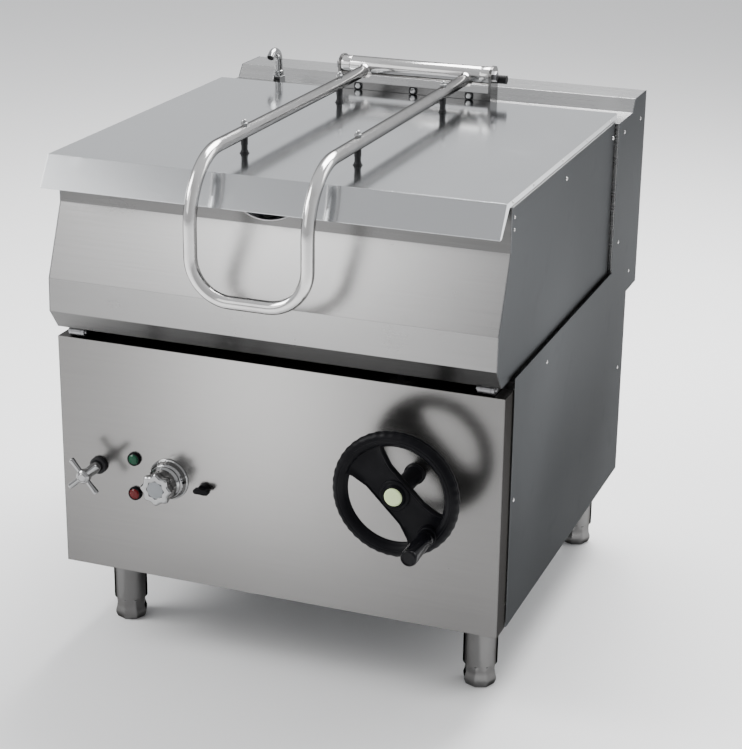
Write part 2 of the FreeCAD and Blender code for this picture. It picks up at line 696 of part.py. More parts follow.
def pan_side(label, side):
    """Flat side plate of the pan body, as deep as the fascia."""
    piece = Piece(label)
    shift = "%s - sheet_gauge" % PAN_HALF if side > 0 else "-" + PAN_HALF
    outline = FASCIA + [("pan_back", SKIN_TOP), ("pan_back", "pan_bottom")]
    piece.pad(piece.polygon("YZ_Plane", outline, shift), "sheet_gauge")
    return piece.done()


def pan_base_cover():
    """Folded sheet that closes the pan body below and behind."""
    piece = Piece("pan_base_cover")
    low = (FASCIA_BACK, "pan_bottom")
    high = ("pan_back", SKIN_TOP)
    piece.pad(piece.rectangle("YZ_Plane", low, high), "pan_width - 2 * sheet_gauge", both=True)
    piece.shell(lambda centre, normal: abs(normal.x) > 0.9 or normal.y < -0.9 or normal.z > 0.9)
    return piece.done()


def cooking_vessel():
    """Welded trough with rounded corners, a flat rim and a pouring chute in the rim's front."""
    piece = Piece("cooking_vessel")
    half = "(well_width / 2)"
    wall = "well_wall"
    low = ("-(%s + %s)" % (half, wall), "well_front - " + wall)
    high = ("%s + %s" % (half, wall), "well_back + " + wall)
    outer = piece.rounded("XY_Plane", low, high, "well_corner + well_wall", WELL_BOTTOM)
    piece.pad(outer, "rim_level - %s" % WELL_BOTTOM)
    rim_low = ("-" + PAN_HALF, "shoulder_depth")
    rim_high = (PAN_HALF, "pan_back")
    piece.pad(piece.rectangle("XY_Plane", rim_low, rim_high, SKIN_TOP), "rim_gauge")
    trough = piece.circles("XZ_Plane", [("0", CHUTE_LEVEL)], "chute_radius + chute_gauge", "-well_front")
    piece.pad(trough, "well_front - chute_front")
    near = "chute_front - 1"
    above = piece.rectangle("YZ_Plane", (near, "rim_level"), ("well_front", "rim_level + 2 * chute_radius"))
    piece.pocket(above, "4 * chute_radius", both=True)
    under = "rim_level - chute_drop - 2 * chute_gauge"
    rake = [
        (near, under), ("chute_front", under), ("chute_front + chute_rake", "rim_level + 1"),
        (near, "rim_level + 1"),
    ]
    piece.pocket(piece.polygon("YZ_Plane", rake), "4 * chute_radius", both=True)
    well_low = ("-" + half, "well_front")
    well_high = (half, "well_back")
    well = piece.rounded("XY_Plane", well_low, well_high, "well_corner", "rim_level")
    piece.pocket(well, "rim_level - well_floor")
    overlap = "2 * well_wall"
    channel = piece.circles("XZ_Plane", [("0", CHUTE_LEVEL)], "chute_radius", "-(well_front + %s)" % overlap)
    piece.pocket(channel, "well_front + 2 * (%s) - chute_front" % overlap, turned=True)
    return piece.done()


def heating_elements():
    """Three hairpin rods clamped against the vessel's floor."""
    radius = size("element_radius")
    level = size(WELL_BOTTOM) - radius
    front = size("well_front + element_front")
    back = size("well_back - element_back")
    half = size("element_width / 2")
    bend = size("element_bend")
    solids = []
    for index in (-1, 0, 1):
        middle = index * size("well_width / 3")
        points = [
            Vector(middle - half, back, level), Vector(middle - half, front, level),
            Vector(middle + half, front, level), Vector(middle + half, back, level),
        ]
        solids.append(pipe(points, [bend, bend], radius))
    return compound("heating_elements", solids)


def insulation_board():
    """Mineral board that fills the pan body under the heating elements."""
    piece = Piece("insulation_board")
    low = ("-well_width / 2", "well_front")
    high = ("well_width / 2", "well_back")
    piece.pad(piece.rectangle("XY_Plane", low, high, "pan_bottom + sheet_gauge"), "insulation")
    return piece.done()


# Tilt hinge at the two front corners

def tilt_knuckles():
    """Two knuckles under the pan, each with the leaf that is welded to the pan's base."""
    axis = Vector(0, size("tilt_depth"), size("tilt_level"))
    radius = size("knuckle_radius")
    half = ACROSS * size("knuckle_width / 2")
    gauge = size("knuckle_leaf_gauge")
    solids = []
    for sign in (-1, 1):
        middle = axis + ACROSS * (sign * size("knuckle_place"))
        barrel = sleeve(radius, size("tilt_pin + running_gap"), middle - half, middle + half)
        web = Part.makeBox(2 * half.x, radius, size("pan_bottom - tilt_level"), middle - half)
        leaf_low = middle - half + UP * (size("pan_bottom - tilt_level") - gauge)
        leaf = Part.makeBox(2 * half.x, size("knuckle_leaf"), gauge, leaf_low)
        bore = rod(size("tilt_pin + running_gap"), middle - half * 1.2, middle + half * 1.2)
        solids.append(barrel.fuse([web, leaf]).cut(bore).removeSplitter())
    return compound("pan_hinge_knuckles", solids)


def tilt_brackets():
    """Two forks on the front posts, each with its pin welded in."""
    axis = Vector(0, size("tilt_depth"), size("tilt_level"))
    radius = size("knuckle_radius")
    gap = size("knuckle_width / 2 + end_gap")
    wide = size("fork_gauge")
    reach = gap + wide
    bar = size("bar_size")
    arm = size("post_front + bar_size - tilt_depth")
    solids = []
    for sign in (-1, 1):
        middle = axis + ACROSS * (sign * size("knuckle_place"))
        end = ACROSS * (reach + size("pin_end"))
        pieces = []
        for x in (-reach, gap):
            start = middle + ACROSS * x
            pieces.append(rod(radius, start, start + ACROSS * wide))
            pieces.append(Part.makeBox(wide, arm, 2 * radius - 1, start - UP * radius))
        foot_low = Vector(middle.x - reach, size("post_front"), size(BRACKET_LEVEL))
        pieces.append(Part.makeBox(2 * reach, bar, size("fork_foot"), foot_low))
        pin = rod(size("tilt_pin"), middle - end, middle + end)
        solids.append(pin.fuse(pieces).removeSplitter())
    return compound("tilt_hinge_brackets", solids)


def rest_pads():
    """Two rubber pads on the rear rail, on which the level pan rests."""
    solids = []
    for sign in (-1, 1):
        base = Vector(sign * size("pad_place"), size("rail_depth"), size("side_top - bar_size"))
        top = base + UP * size("bar_size - seat_gap")
        solids.append(rod(size("pad_radius"), base, top))
    return compound("pan_rest_pads", solids)


# Tilt gearing

# Start and end angle of each window in the quadrant, with its inner radius.
SECTOR_WINDOWS = ((-64, -47, 120), (-42, -25, 105))


def tilt_quadrant():
    """Toothed sector about the tilt axis, hung under the pan and lightened by two windows."""
    depth = size("tilt_depth")
    level = size("tilt_level")
    teeth = int(size("sector_teeth"))
    pitch_angle = 360 / teeth
    below = math.ceil(size("tilt_angle") / pitch_angle)
    above = 1
    outline = gear_points(teeth, MESH_ANGLE - below * pitch_angle, below + above + 1, depth, level)
    seat = size("pan_bottom")
    front = depth + size("sector_front")
    back = depth + size("sector_seat")
    outline += [Vector(0, back, seat), Vector(0, front, seat)]
    width = size("gear_width")
    x0 = size("sector_place") - width / 2
    outer = size(SECTOR_RADIUS + " - sector_rim")
    windows = []
    for start, end, inner in SECTOR_WINDOWS:
        edge = []
        for radius, angle in ((inner, start), (outer, start), (outer, end), (inner, end)):
            turn = math.radians(angle)
            edge.append(Vector(0, depth + radius * math.cos(turn), level + radius * math.sin(turn)))
        window = plate(edge, x0 - 1, width + 2)
        upright = [side for side in window.Edges if along(side, "x")]
        windows.append(window.makeFillet(size("sector_window_corner"), upright))
    flange_width = size("sector_flange")
    gauge = size("sector_flange_gauge")
    flange_low = Vector(size("sector_place") - flange_width / 2, front, seat - gauge)
    flange = Part.makeBox(flange_width, back - front, gauge, flange_low)
    solid = plate(outline, x0, width).cut(windows[0].fuse(windows[1]))
    return feature("tilt_quadrant", solid.fuse(flange).removeSplitter())


def pinion_shaft():
    """Cross shaft with the pinion that drives the quadrant."""
    teeth = int(size("pinion_teeth"))
    level = size(CROSS_LEVEL)
    width = size("gear_width + pinion_extra")
    outline = gear_points(teeth, 180 + MESH_ANGLE + 180 / teeth, teeth, CROSS_DEPTH, level)
    gear = plate(outline, size("sector_place") - width / 2, width)
    start = Vector(BRACKET_LEFT, CROSS_DEPTH, level)
    end = Vector(BRACKET_RIGHT, CROSS_DEPTH, level)
    return feature("pinion_shaft", gear.fuse(rod(size("shaft_radius"), start, end)).removeSplitter())


def worm_lead():
    """Distance that the worm's thread advances in one turn."""
    return size("worm_starts") * math.pi * size("gear_module")


def worm_wheel():
    """Wheel on the cross shaft whose teeth lean by the lead angle of the worm."""
    teeth = int(size("wheel_teeth"))
    level = size(CROSS_LEVEL)
    half = size("gear_width + pinion_extra") / 2
    middle = size("drive_place")
    lean = worm_lead() / (2 * math.pi * size("worm_radius"))
    twist = math.degrees(half * lean / size(WORM_WHEEL_RADIUS))
    rings = []
    for side in (-1, 1):
        outline = gear_points(teeth, -90 + side * twist, teeth, CROSS_DEPTH, level)
        ring = Part.makePolygon(outline + [outline[0]])
        ring.translate(ACROSS * (middle + side * half))
        rings.append(ring)
    gear = Part.makeLoft(rings, True, True)
    start = Vector(middle - half - 1, CROSS_DEPTH, level)
    through = ACROSS * (2 * half + 2)
    circle = size("wheel_hole_circle")
    holes = []
    for index in range(5):
        turn = math.radians(72 * index)
        place = start + Vector(0, circle * math.cos(turn), circle * math.sin(turn))
        holes.append(rod(size("wheel_hole"), place, place + through))
    bore = rod(size("shaft_radius"), start, start + through)
    return feature("worm_wheel", gear.cut(bore.fuse(holes)))


def worm_thread():
    """Threads of the worm along a vertical axis, one helical sweep of the rack's tooth per start."""
    module = size("gear_module")
    pitch = size("worm_radius")
    slope = math.tan(math.radians(size("pressure_angle")))
    half = math.pi * module / 4 - size("worm_thinning")
    lead = worm_lead()
    turns = math.ceil(size("worm_length") / lead)
    foot = -1.3 * module - 0.5
    tip = 0.9 * module
    start = -turns * lead / 2
    corners = []
    for lift, side in ((foot, -1), (tip, -1), (tip, 1), (foot, 1)):
        corners.append(Vector(pitch + lift, 0, start + side * (half - lift * slope)))
    helix = Part.makeHelix(lead, turns * lead, pitch)
    helix.translate(UP * start)
    tooth = Part.makePolygon(corners + [corners[0]])
    sweep = Part.Wire(helix).makePipeShell([tooth], True, True)
    length = size("worm_length")
    trimmed = sweep.common(Part.makeCylinder(pitch + 2 * module, length, Vector(0, 0, -length / 2)))
    starts = int(size("worm_starts"))
    threads = []
    for index in range(starts):
        thread = trimmed.copy()
        thread.rotate(Vector(0, 0, 0), UP, 360 / starts * index)
        threads.append(thread)
    return threads


def worm_shaft():
    """Drive shaft from the handwheel to the worm under the worm wheel."""
    place = Vector(size("drive_place"), CROSS_DEPTH, size("drive_level"))
    half = size("worm_length") / 2
    front = Vector(place.x, -size("wheel_stand"), place.z)
    back = place + REAR * (WORM_SPAN + size("bush_length"))
    shaft = rod(size("shaft_radius"), front, back)
    core = rod(size("worm_radius - 1.3 * gear_module"), place - REAR * half, place + REAR * half)
    threads = []
    for thread in worm_thread():
        thread.rotate(Vector(0, 0, 0), ACROSS, -90)
        thread.translate(place)
        threads.append(thread)
    return feature("worm_shaft", shaft.fuse(core).fuse(threads).removeSplitter())


BRACKET_LEFT = size("sector_place - gear_width / 2 - bracket_left")
BRACKET_RIGHT = size("drive_place + bracket_right")
WORM_SPAN = size("worm_length / 2 + worm_bearing_gap")


def shaft_bushes():
    """Flanged bronze bushes of the cross shaft and of the worm shaft."""
    inner = size("shaft_radius + running_gap")
    outer = size("shaft_radius + bush_wall")
    length = size("bush_length")
    flange = size("bush_flange")
    cross = Vector(0, CROSS_DEPTH, size(CROSS_LEVEL))
    worm = Vector(size("drive_place"), CROSS_DEPTH, size("drive_level"))
    seats = (
        (cross + ACROSS * BRACKET_LEFT, ACROSS), (cross + ACROSS * BRACKET_RIGHT, -ACROSS),
        (worm - REAR * WORM_SPAN, REAR), (worm + REAR * WORM_SPAN, -REAR),
    )
    solids = []
    for start, way in seats:
        shoulder = start + way * length
        body = sleeve(outer, inner, start, shoulder)
        collar = sleeve(outer + flange, inner, shoulder, shoulder + way * flange)
        solids.append(body.fuse(collar).removeSplitter())
    return compound("shaft_bushes", solids)


def gear_bracket():
    """Welded stand on the frame's cross bar that holds the bushes of both shafts."""
    floor = size(FRAME_LOW + " + bar_size")
    gauge = size("bracket_gauge")
    wide = size("bracket_width")
    outer = size("shaft_radius + bush_wall")
    cross = Vector(0, CROSS_DEPTH, size(CROSS_LEVEL))
    worm = Vector(size("drive_place"), CROSS_DEPTH, size("drive_level"))
    pieces = []
    for start in (cross + ACROSS * BRACKET_LEFT, cross + ACROSS * (BRACKET_RIGHT - gauge)):
        low = Vector(start.x, CROSS_DEPTH - wide / 2, floor)
        pieces.append(Part.makeBox(gauge, wide, cross.z - floor, low))
        pieces.append(rod(wide / 2, start, start + ACROSS * gauge))
    for start in (worm - REAR * WORM_SPAN, worm + REAR * (WORM_SPAN - gauge)):
        low = Vector(worm.x - wide / 2, start.y, floor)
        pieces.append(Part.makeBox(wide, gauge, worm.z - floor, low))
        pieces.append(rod(wide / 2, start, start + REAR * gauge))
    base_low = Vector(BRACKET_LEFT, CROSS_DEPTH - WORM_SPAN, floor)
    base = Part.makeBox(BRACKET_RIGHT - BRACKET_LEFT, 2 * WORM_SPAN, size("bracket_base"), base_low)
    cross_bore = rod(outer, cross + ACROSS * (BRACKET_LEFT - 1), cross + ACROSS * (BRACKET_RIGHT + 1))
    worm_bore = rod(outer, worm - REAR * (WORM_SPAN + 1), worm + REAR * (WORM_SPAN + 1))
    stand = base.fuse(pieces).cut(cross_bore.fuse(worm_bore))
    return feature("gear_bracket", stand.removeSplitter())


# Handwheel

def on_wheel(piece):
    """Set a piece on the wheel's axis, with the web on a falling diagonal, and list it."""
    facing_front(piece.body, "drive_place", "-wheel_stand", "drive_level", size("wheel_tilt"))
    return listed(piece.body, piece.label)


def handwheel():
    """Moulded wheel: a round rim, a hub and one wide waisted web between two windows."""
    piece = Piece("handwheel")
    centre = "(wheel_radius - wheel_rim)"
    rim = piece.circles("XZ_Plane", [(centre, "0")], "wheel_rim")
    piece.revolve(rim)
    piece.pad(piece.circles("XY_Plane", [("0", "0")], centre), "web_gauge", both=True)
    window = piece.sketch("XY_Plane")
    reach = size("wheel_radius - 2 * wheel_rim - wheel_lip")
    span = math.radians(size("web_span"))
    waist = size("web_waist")
    knee = size("web_knee")
    ends = [Vector(reach * math.cos(span), side * reach * math.sin(span), 0) for side in (-1, 1)]
    knees = [Vector(waist, side * knee, 0) for side in (-1, 1)]
    window.addGeometry(Part.Arc(ends[0], Vector(reach, 0, 0), ends[1]))
    window.addGeometry(Part.LineSegment(ends[1], knees[1]))
    window.addGeometry(Part.LineSegment(knees[1], knees[0]))
    window.addGeometry(Part.LineSegment(knees[0], ends[0]))
    cut = piece.pocket(window, "4 * web_gauge", both=True)
    piece.polar(cut, "Z_Axis", 2)
    piece.edges("Fillet", "web_corner", lambda edge: along(edge, "z"))
    hub = piece.circles("XY_Plane", [("0", "0")], "hub_radius", "-hub_back")
    piece.pad(hub, "hub_back + hub_front")
    boss = piece.circles("XY_Plane", [("0", "-grip_circle")], "grip_radius")
    piece.pad(boss, "wheel_rim + 1")
    recess = piece.circles("XY_Plane", [("0", "0")], "hub_cap", "hub_front")
    piece.pocket(recess, "hub_cap_depth")
    bore = piece.circles("XY_Plane", [("0", "0")], "shaft_radius", "-hub_back")
    piece.pocket(bore, "hub_back", turned=True)
    return on_wheel(piece)


def hub_cap():
    """Domed cap that closes the hub."""
    piece = Piece("hub_cap")
    edge = "hub_cap - running_gap"
    piece.revolve(piece.polygon("XZ_Plane", [
        ("0", "hub_front - hub_cap_depth"), (edge, "hub_front - hub_cap_depth"), (edge, "hub_front"),
        ("hub_cap - 2", "hub_front + 1.5"), ("0", "hub_front + 2.5"),
    ]))
    return on_wheel(piece)


def crank_spindle():
    """Pin on which the grip spins."""
    piece = Piece("crank_spindle")
    pin = piece.circles("XY_Plane", [("0", "-grip_circle")], "spindle_radius", "wheel_rim + 1")
    piece.pad(pin, "grip_length")
    return on_wheel(piece)


def crank_grip():
    """Waisted grip that spins on its pin, closed at the end."""
    piece = Piece("crank_grip")
    start = "(wheel_rim + 1 + end_gap)"
    end = "(wheel_rim + %s + grip_length)" % GRIP_CLEARANCE
    bore = "spindle_radius + running_gap"
    floor = end + " - %s + 1 + end_gap" % GRIP_CLEARANCE
    piece.revolve(piece.polygon("XZ_Plane", [
        (bore, start), ("grip_radius - 2", start), ("grip_radius", start + " + 3"),
        ("grip_radius - 1.5", start + " + grip_length * 0.5"), ("grip_radius", end + " - 8"),
        ("grip_radius - 1.5", end + " - 1"), ("grip_radius - 4", end), ("0", end), ("0", floor),
        (bore, floor),
    ]))
    turn = math.radians(size("wheel_tilt") - 90)
    x = "drive_place + grip_circle * %f" % math.cos(turn)
    z = "drive_level + grip_circle * %f" % math.sin(turn)
    facing_front(piece.body, x, "-wheel_stand", z)
    return listed(piece.body, piece.label)


# Controls, each turned about a line square to the front panel

INSIDE = "-sheet_gauge"


def drive_boss():
    """Long sleeve that the handwheel's shaft comes through."""
    bore = "shaft_radius + seat_gap"
    end = "(wheel_stand - hub_back - end_gap)"
    return spun("drive_boss", [
        (bore, "-boss_neck"), ("boss_neck", "-boss_neck"), ("boss_neck", "0"), ("boss_radius + 3", "0"),
        ("boss_radius + 3", "3"), ("boss_radius", "6"), ("boss_radius", end + " - 2"),
        ("boss_radius - 2", end), (bore, end),
    ], "drive_place", "drive_level")


def thermostat():
    """Fixed dial ring and the thermostat behind the panel with its spindle."""
    spun("thermostat_collar", [
        ("knob_spindle + 1.5", "0"), ("collar_radius", "0"), ("collar_radius", "2"),
        ("collar_radius - 3", "4"), ("collar_radius - 4", "collar_length - 1"),
        ("collar_radius - 7", "collar_length"), ("knob_spindle + 1.5", "collar_length"),
    ], "knob_place", "knob_level")
    end = "collar_length + 6"
    spun("thermostat_body", [
        ("0", "-40"), ("18", "-40"), ("18", INSIDE), ("knob_spindle", INSIDE), ("knob_spindle", end),
        ("0", end),
    ], "knob_place", "knob_level")


def thermostat_knob():
    """Chromed knob with eight scallops and a recessed face."""
    piece = Piece("thermostat_knob")
    low = "(collar_length + end_gap)"
    high = "(%s + knob_length)" % low
    bore = "knob_spindle + 2 * running_gap"
    piece.revolve(piece.polygon("XZ_Plane", [
        ("0", low + " + 7"), (bore, low + " + 7"), (bore, low), ("knob_radius + 2", low),
        ("knob_radius", low + " + 4"), ("knob_radius - 1.5", high + " - 3"), ("knob_radius - 4", high),
        ("knob_disc", high), ("knob_disc", high + " - 1.5"), ("0", high + " - 1.5"),
    ]))
    flute = piece.circles("XY_Plane", [("knob_radius + flute_offset", "0")], "flute_radius", low + " + 8")
    cut = piece.pocket(flute, "knob_length", turned=True)
    piece.polar(cut, "Z_Axis", 8)
    facing_front(piece.body, "knob_place", "0", "knob_level")
    return listed(piece.body, piece.label)


def lamps():
    """Two indicator lamps: ring bezels with round bodies behind the panel, and domed lenses."""
    bezels = []
    for name, sign in (("green", "+"), ("red", "-")):
        level = "lamp_level %s lamp_pitch / 2" % sign
        spun("lamp_lens_" + name, [
            ("0", "1.5"), ("lens_radius - 0.2", "1.5"), ("lens_radius - 0.2", "lamp_rise"),
            ("lens_radius - 2.5", "lamp_rise + 2"), ("0", "lamp_rise + 3"),
        ], "lamp_place", level)
        base = Vector(size("lamp_place"), 0, size(level))
        ring = Part.makeCone(size("lamp_radius"), size("lamp_radius - 1"), size("lamp_rise"), base, -REAR)
        seat = rod(size("lens_radius"), base - REAR * 1.5, base - REAR * (size("lamp_rise") + 1))
        body = rod(size("lens_radius"), base, base + REAR * size("lamp_body"))
        bezels.append(ring.cut(seat).fuse(body).removeSplitter())
    return compound("lamp_bezels", bezels)


def rotary_switch():
    """Switch behind the panel, and its bar knob on a round skirt."""
    spun("switch_body", [
        ("0", "-35"), ("12", "-35"), ("12", INSIDE), ("switch_spindle", INSIDE), ("switch_spindle", "8"),
        ("0", "8"),
    ], "switch_place", "switch_level")
    piece = Piece("switch_knob")
    skirt = "(end_gap + 8.5)"
    piece.pad(piece.circles("XY_Plane", [("0", "0")], "switch_skirt", "end_gap"), "8.5")
    half = "switch_bar / 2"
    wide = "switch_bar_width / 2"
    bar = piece.rectangle("XY_Plane", ("-%s" % half, "-%s" % wide), (half, wide), skirt)
    piece.pad(bar, "9")
    piece.edges("Fillet", wide + " - 0.2", lambda edge: along(edge, "z"))
    bore = piece.circles("XY_Plane", [("0", "0")], "switch_spindle + 2 * running_gap", "0")
    piece.pocket(bore, "8.2", turned=True)
    facing_front(piece.body, "switch_place", "0", "switch_level")
    return listed(piece.body, piece.label)


def water_valve():
    """Valve body behind the panel, with the collar, sleeve and spindle that carry the cross."""
    spun("water_valve", [
        ("0", "-48"), ("16", "-48"), ("16", "-12"), ("valve_sleeve", "-12"), ("valve_sleeve", "0"),
        ("valve_collar", "0"), ("valve_collar - 1", "6"), ("valve_sleeve", "6"),
        ("valve_sleeve - 1", "valve_stand - 15"), ("valve_spindle", "valve_stand - 15"),
        ("valve_spindle", "valve_stand"), ("0", "valve_stand"),
    ], "valve_place", "valve_level")


def valve_handle():
    """Cross handle: a turned hub with four round arms."""
    piece = Piece("valve_handle")
    low = "(valve_stand - 15 + end_gap)"
    piece.revolve(piece.polygon("XZ_Plane", [
        ("0", low), ("valve_sleeve - 0.5", low), ("valve_sleeve + 0.5", "valve_stand - 10"),
        ("valve_sleeve + 0.5", "valve_stand + 7"), ("valve_sleeve - 2", "valve_stand + 9"),
        ("0", "valve_stand + 10"),
    ]))
    round_bar = piece.circles("YZ_Plane", [("0", "valve_stand")], "valve_arm")
    arm = piece.pad(round_bar, "valve_reach")
    piece.polar(arm, "Z_Axis", 4)
    bore = piece.circles("XY_Plane", [("0", "0")], "valve_spindle + running_gap", low)
    piece.pocket(bore, "15 + end_gap", turned=True)
    facing_front(piece.body, "valve_place", "0", "valve_level", 40)
    return listed(piece.body, piece.label)


# Lid

LID_OUTLINE = [
    ("lid_front", "lid_top"), ("lid_back", "lid_top"), ("lid_back", "lid_top - lid_fold"),
    ("lid_front + liner_drop", "lid_top - lid_fold"), ("lid_lip_depth + lid_lip_hem", "lid_lip_level"),
    ("lid_lip_depth", "lid_lip_level"),
]


def lid_shell():
    """Outer lid sheet: a flat top, shallow side folds and a sloping front lip."""
    piece = Piece("lid_shell")
    piece.pad(piece.polygon("YZ_Plane", LID_OUTLINE), "pan_width", both=True)
    piece.shell(lambda centre, normal: normal.z < -0.1)
    return piece.done()


def lid_liner():
    """Inner lid sheet, a shallow tray that reaches down into the mouth of the vessel."""
    piece = Piece("lid_liner")
    half = "(well_width / 2 - liner_margin)"
    low = ("-" + half, "well_front + liner_margin")
    high = (half, "well_back - liner_margin")
    outline = piece.rounded("XY_Plane", low, high, "well_corner - liner_margin", "rim_level - liner_drop")
    piece.pad(outline, "lid_top - sheet_gauge - rim_level + liner_drop")
    piece.shell(lambda centre, normal: normal.z > 0.9)
    return piece.done()


def lid_handle():
    """Bent tube: two arms over the lid and a loop that hangs in front of the lip."""
    x = size("handle_spacing / 2")
    level = size(TUBE_LEVEL)
    front = size("loop_depth")
    axis = hinge_axis()
    arm = [Vector(x, axis.y, level), Vector(x, front, level), Vector(x, front, size("loop_bottom"))]
    other = [Vector(-point.x, point.y, point.z) for point in reversed(arm)]
    knee = size("knee_bend")
    corner = size("loop_bend")
    tube = pipe(arm + other, [knee, corner, corner, knee], size("handle_tube"))
    half = ACROSS * size("hinge_length / 2")
    barrel = rod(size("hinge_tube"), axis - half, axis + half)
    behind = Part.makeBox(2 * half.x, size("hinge_tube"), 4 * size("hinge_tube"),
                          axis - half - UP * size("2 * hinge_tube"))
    return feature("lid_handle", tube.cut(barrel.fuse(behind)))


# Lid hinge

def hinge_axis():
    """Middle of the lid's hinge axis."""
    return Vector(0, size("hinge_depth"), size(HINGE_LEVEL))


CHEEK_FACE = size("hinge_length / 2 + end_gap")
CHEEK_END = size("hinge_length / 2 + end_gap + cheek_gauge")


def lid_hinge_tube():
    """Wide tube that the handle's arms are welded to."""
    axis = hinge_axis()
    half = ACROSS * size("hinge_length / 2")
    tube = sleeve(size("hinge_tube"), size("hinge_tube - hinge_wall"), axis - half, axis + half)
    return feature("lid_hinge_tube", tube)


def hinge_bushes():
    """Bush at each end of the hinge tube."""
    axis = hinge_axis()
    inner = size("hinge_tube - hinge_wall")
    core = size("axle_radius + running_gap")
    bushes = []
    for way in (-ACROSS, ACROSS):
        end = axis + way * size("hinge_length / 2")
        bushes.append(sleeve(inner, core, end, end - way * size("hinge_bush")))
    return compound("hinge_bushes", bushes)


def lid_hinge_axle():
    """Axle through the hinge tube and both cheeks, with a six-sided head at each end."""
    axis = hinge_axis()
    end = ACROSS * CHEEK_END
    axle = rod(size("axle_radius"), axis - end, axis + end)
    heads = [hexagon(size("axle_head"), axis + way * CHEEK_END, way, size("axle_head_height"))
             for way in (-ACROSS, ACROSS)]
    return feature("lid_hinge_axle", axle.fuse(heads).removeSplitter())


def lid_hinge_bracket():
    """Two cheeks with rounded tops, joined by a strap with three bolts, on the pan's back edge."""
    axis = hinge_axis()
    gauge = size("cheek_gauge")
    base = size("ledge_level + rim_gauge")
    front = size("cheek_front")
    back = size("cheek_back")
    corner = size("cheek_reach")
    pieces = []
    for x0 in (CHEEK_FACE, -CHEEK_FACE - gauge):
        cheek = Part.makeBox(gauge, back - front, axis.z + corner - base, Vector(x0, front, base))
        upper = [edge for edge in cheek.Edges if along(edge, "x") and edge.CenterOfMass.z > axis.z]
        pieces.append(cheek.makeFillet(corner, upper))
    strap = size("strap_gauge")
    seam = size("pan_back")
    full = 2 * CHEEK_END
    foot = size("strap_foot")
    pieces.append(Part.makeBox(full, back - seam, strap, Vector(-full / 2, seam, base)))
    pieces.append(Part.makeBox(full, strap, size("strap_height"), Vector(-full / 2, front, base)))
    pieces.append(Part.makeBox(full, strap, foot, Vector(-full / 2, seam, base + 2 - foot)))
    spacing = size("strap_bolt_place")
    for x in (-spacing, 0, spacing):
        head = Vector(x, front, base + size("strap_height") - 7)
        pieces.append(rod(size("strap_bolt"), head + REAR, head - REAR * 2.5))
    end = ACROSS * (CHEEK_END + 1)
    bore = rod(size("axle_radius"), axis - end, axis + end)
    return feature("lid_hinge_bracket", pieces[0].fuse(pieces[1:]).cut(bore).removeSplitter())


def lid_stop_buffer():
    """Rubber buffer on the right cheek."""
    axis = hinge_axis()
    radius = size("buffer_radius")
    start = Vector(CHEEK_END, size("cheek_back") - radius - 1, axis.z - radius)
    return feature("lid_stop_buffer", rod(radius, start, start + ACROSS * size("buffer_length")))


def handle_fixings():
    """Spacer posts between lid and handle tube, and the domed nuts above it."""
    posts = []
    nuts = []
    radius = size("nut_radius")
    height = size("nut_height")
    for sign in (-1, 1):
        for depth in ("post_front_depth", "post_rear_depth"):
            base = Vector(sign * size("handle_spacing / 2"), size(depth), size("lid_top"))
            posts.append(rod(size("post_radius"), base, base + UP * size("handle_rise - handle_tube")))
            top = base + UP * size("handle_rise + handle_tube")
            dome = Part.makeSphere(radius * 0.8, top + UP * height, UP, 0, 90, 360)
            nuts.append(hexagon(radius, top, UP, height).fuse(dome))
    compound("handle_posts", posts)
    compound("acorn_nuts", nuts)


# Water spout and services

def spout_base():
    """Point on the ledge under the water spout."""
    return Vector(size("spout_place"), size("spout_depth"), size("ledge_level"))


def spout_fitting():
    """Washer, nut and shank that hold the spout in the ledge."""
    base = spout_base()
    shank = size("spout_shank")
    thick = 3
    nut_top = thick + size("spout_nut_height")
    pieces = [
        rod(size("spout_washer"), base, base + UP * thick),
        hexagon(size("spout_nut"), base + UP * thick, UP, size("spout_nut_height")),
        rod(shank, base + UP * nut_top, base + UP * (nut_top + 6)),
    ]
    low = base - UP * size("pipe_bend")
    seat = base - UP * size("spout_seat + 1")
    bore = rod(size("spout_tube + running_gap"), seat, base + UP * (nut_top + 7))
    flow = rod(size("spout_bore"), low - UP, base)
    fitting = rod(shank, low, base + UP).fuse(pieces).cut(bore.fuse(flow))
    return feature("spout_fitting", fitting)


def water_spout():
    """Gooseneck tube that swivels in its fitting."""
    base = spout_base()
    bend = size("spout_bend")
    low = base - UP * size("spout_seat")
    high = base + UP * size("spout_rise")
    centre = high - REAR * bend
    turn = math.radians(size("spout_turn"))
    middle = centre + (REAR * math.cos(turn / 2) + UP * math.sin(turn / 2)) * bend
    last = centre + (REAR * math.cos(turn) + UP * math.sin(turn)) * bend
    tip = last + (UP * math.cos(turn) - REAR * math.sin(turn)) * size("spout_tip")
    path = Part.Wire([
        Part.LineSegment(low, high).toShape(),
        Part.Arc(high, middle, last).toShape(),
        Part.LineSegment(last, tip).toShape(),
    ])
    rings = [Part.Wire(Part.makeCircle(size(radius), low, UP)) for radius in ("spout_tube", "spout_bore")]
    outer, inner = (path.makePipe(Part.Face(ring)) for ring in rings)
    return feature("water_spout", outer.cut(inner))


def water_pipe():
    """Pipe from the valve along the left side and up to the spout's shank."""
    radius = size("pipe_radius")
    bend = size("pipe_bend")
    base = spout_base()
    valve = Vector(size("valve_place"), size("pipe_start"), size("valve_level"))
    turn = Vector(valve.x, size("column_front - pipe_turn"), valve.z)
    corner = Vector(base.x, size("column_front - pipe_turn / 6"), valve.z)
    under = Vector(base.x, base.y, valve.z)
    route = [valve, turn, corner, under, base - UP * bend]
    return feature("water_pipe", pipe(route, [bend, bend, bend], radius))


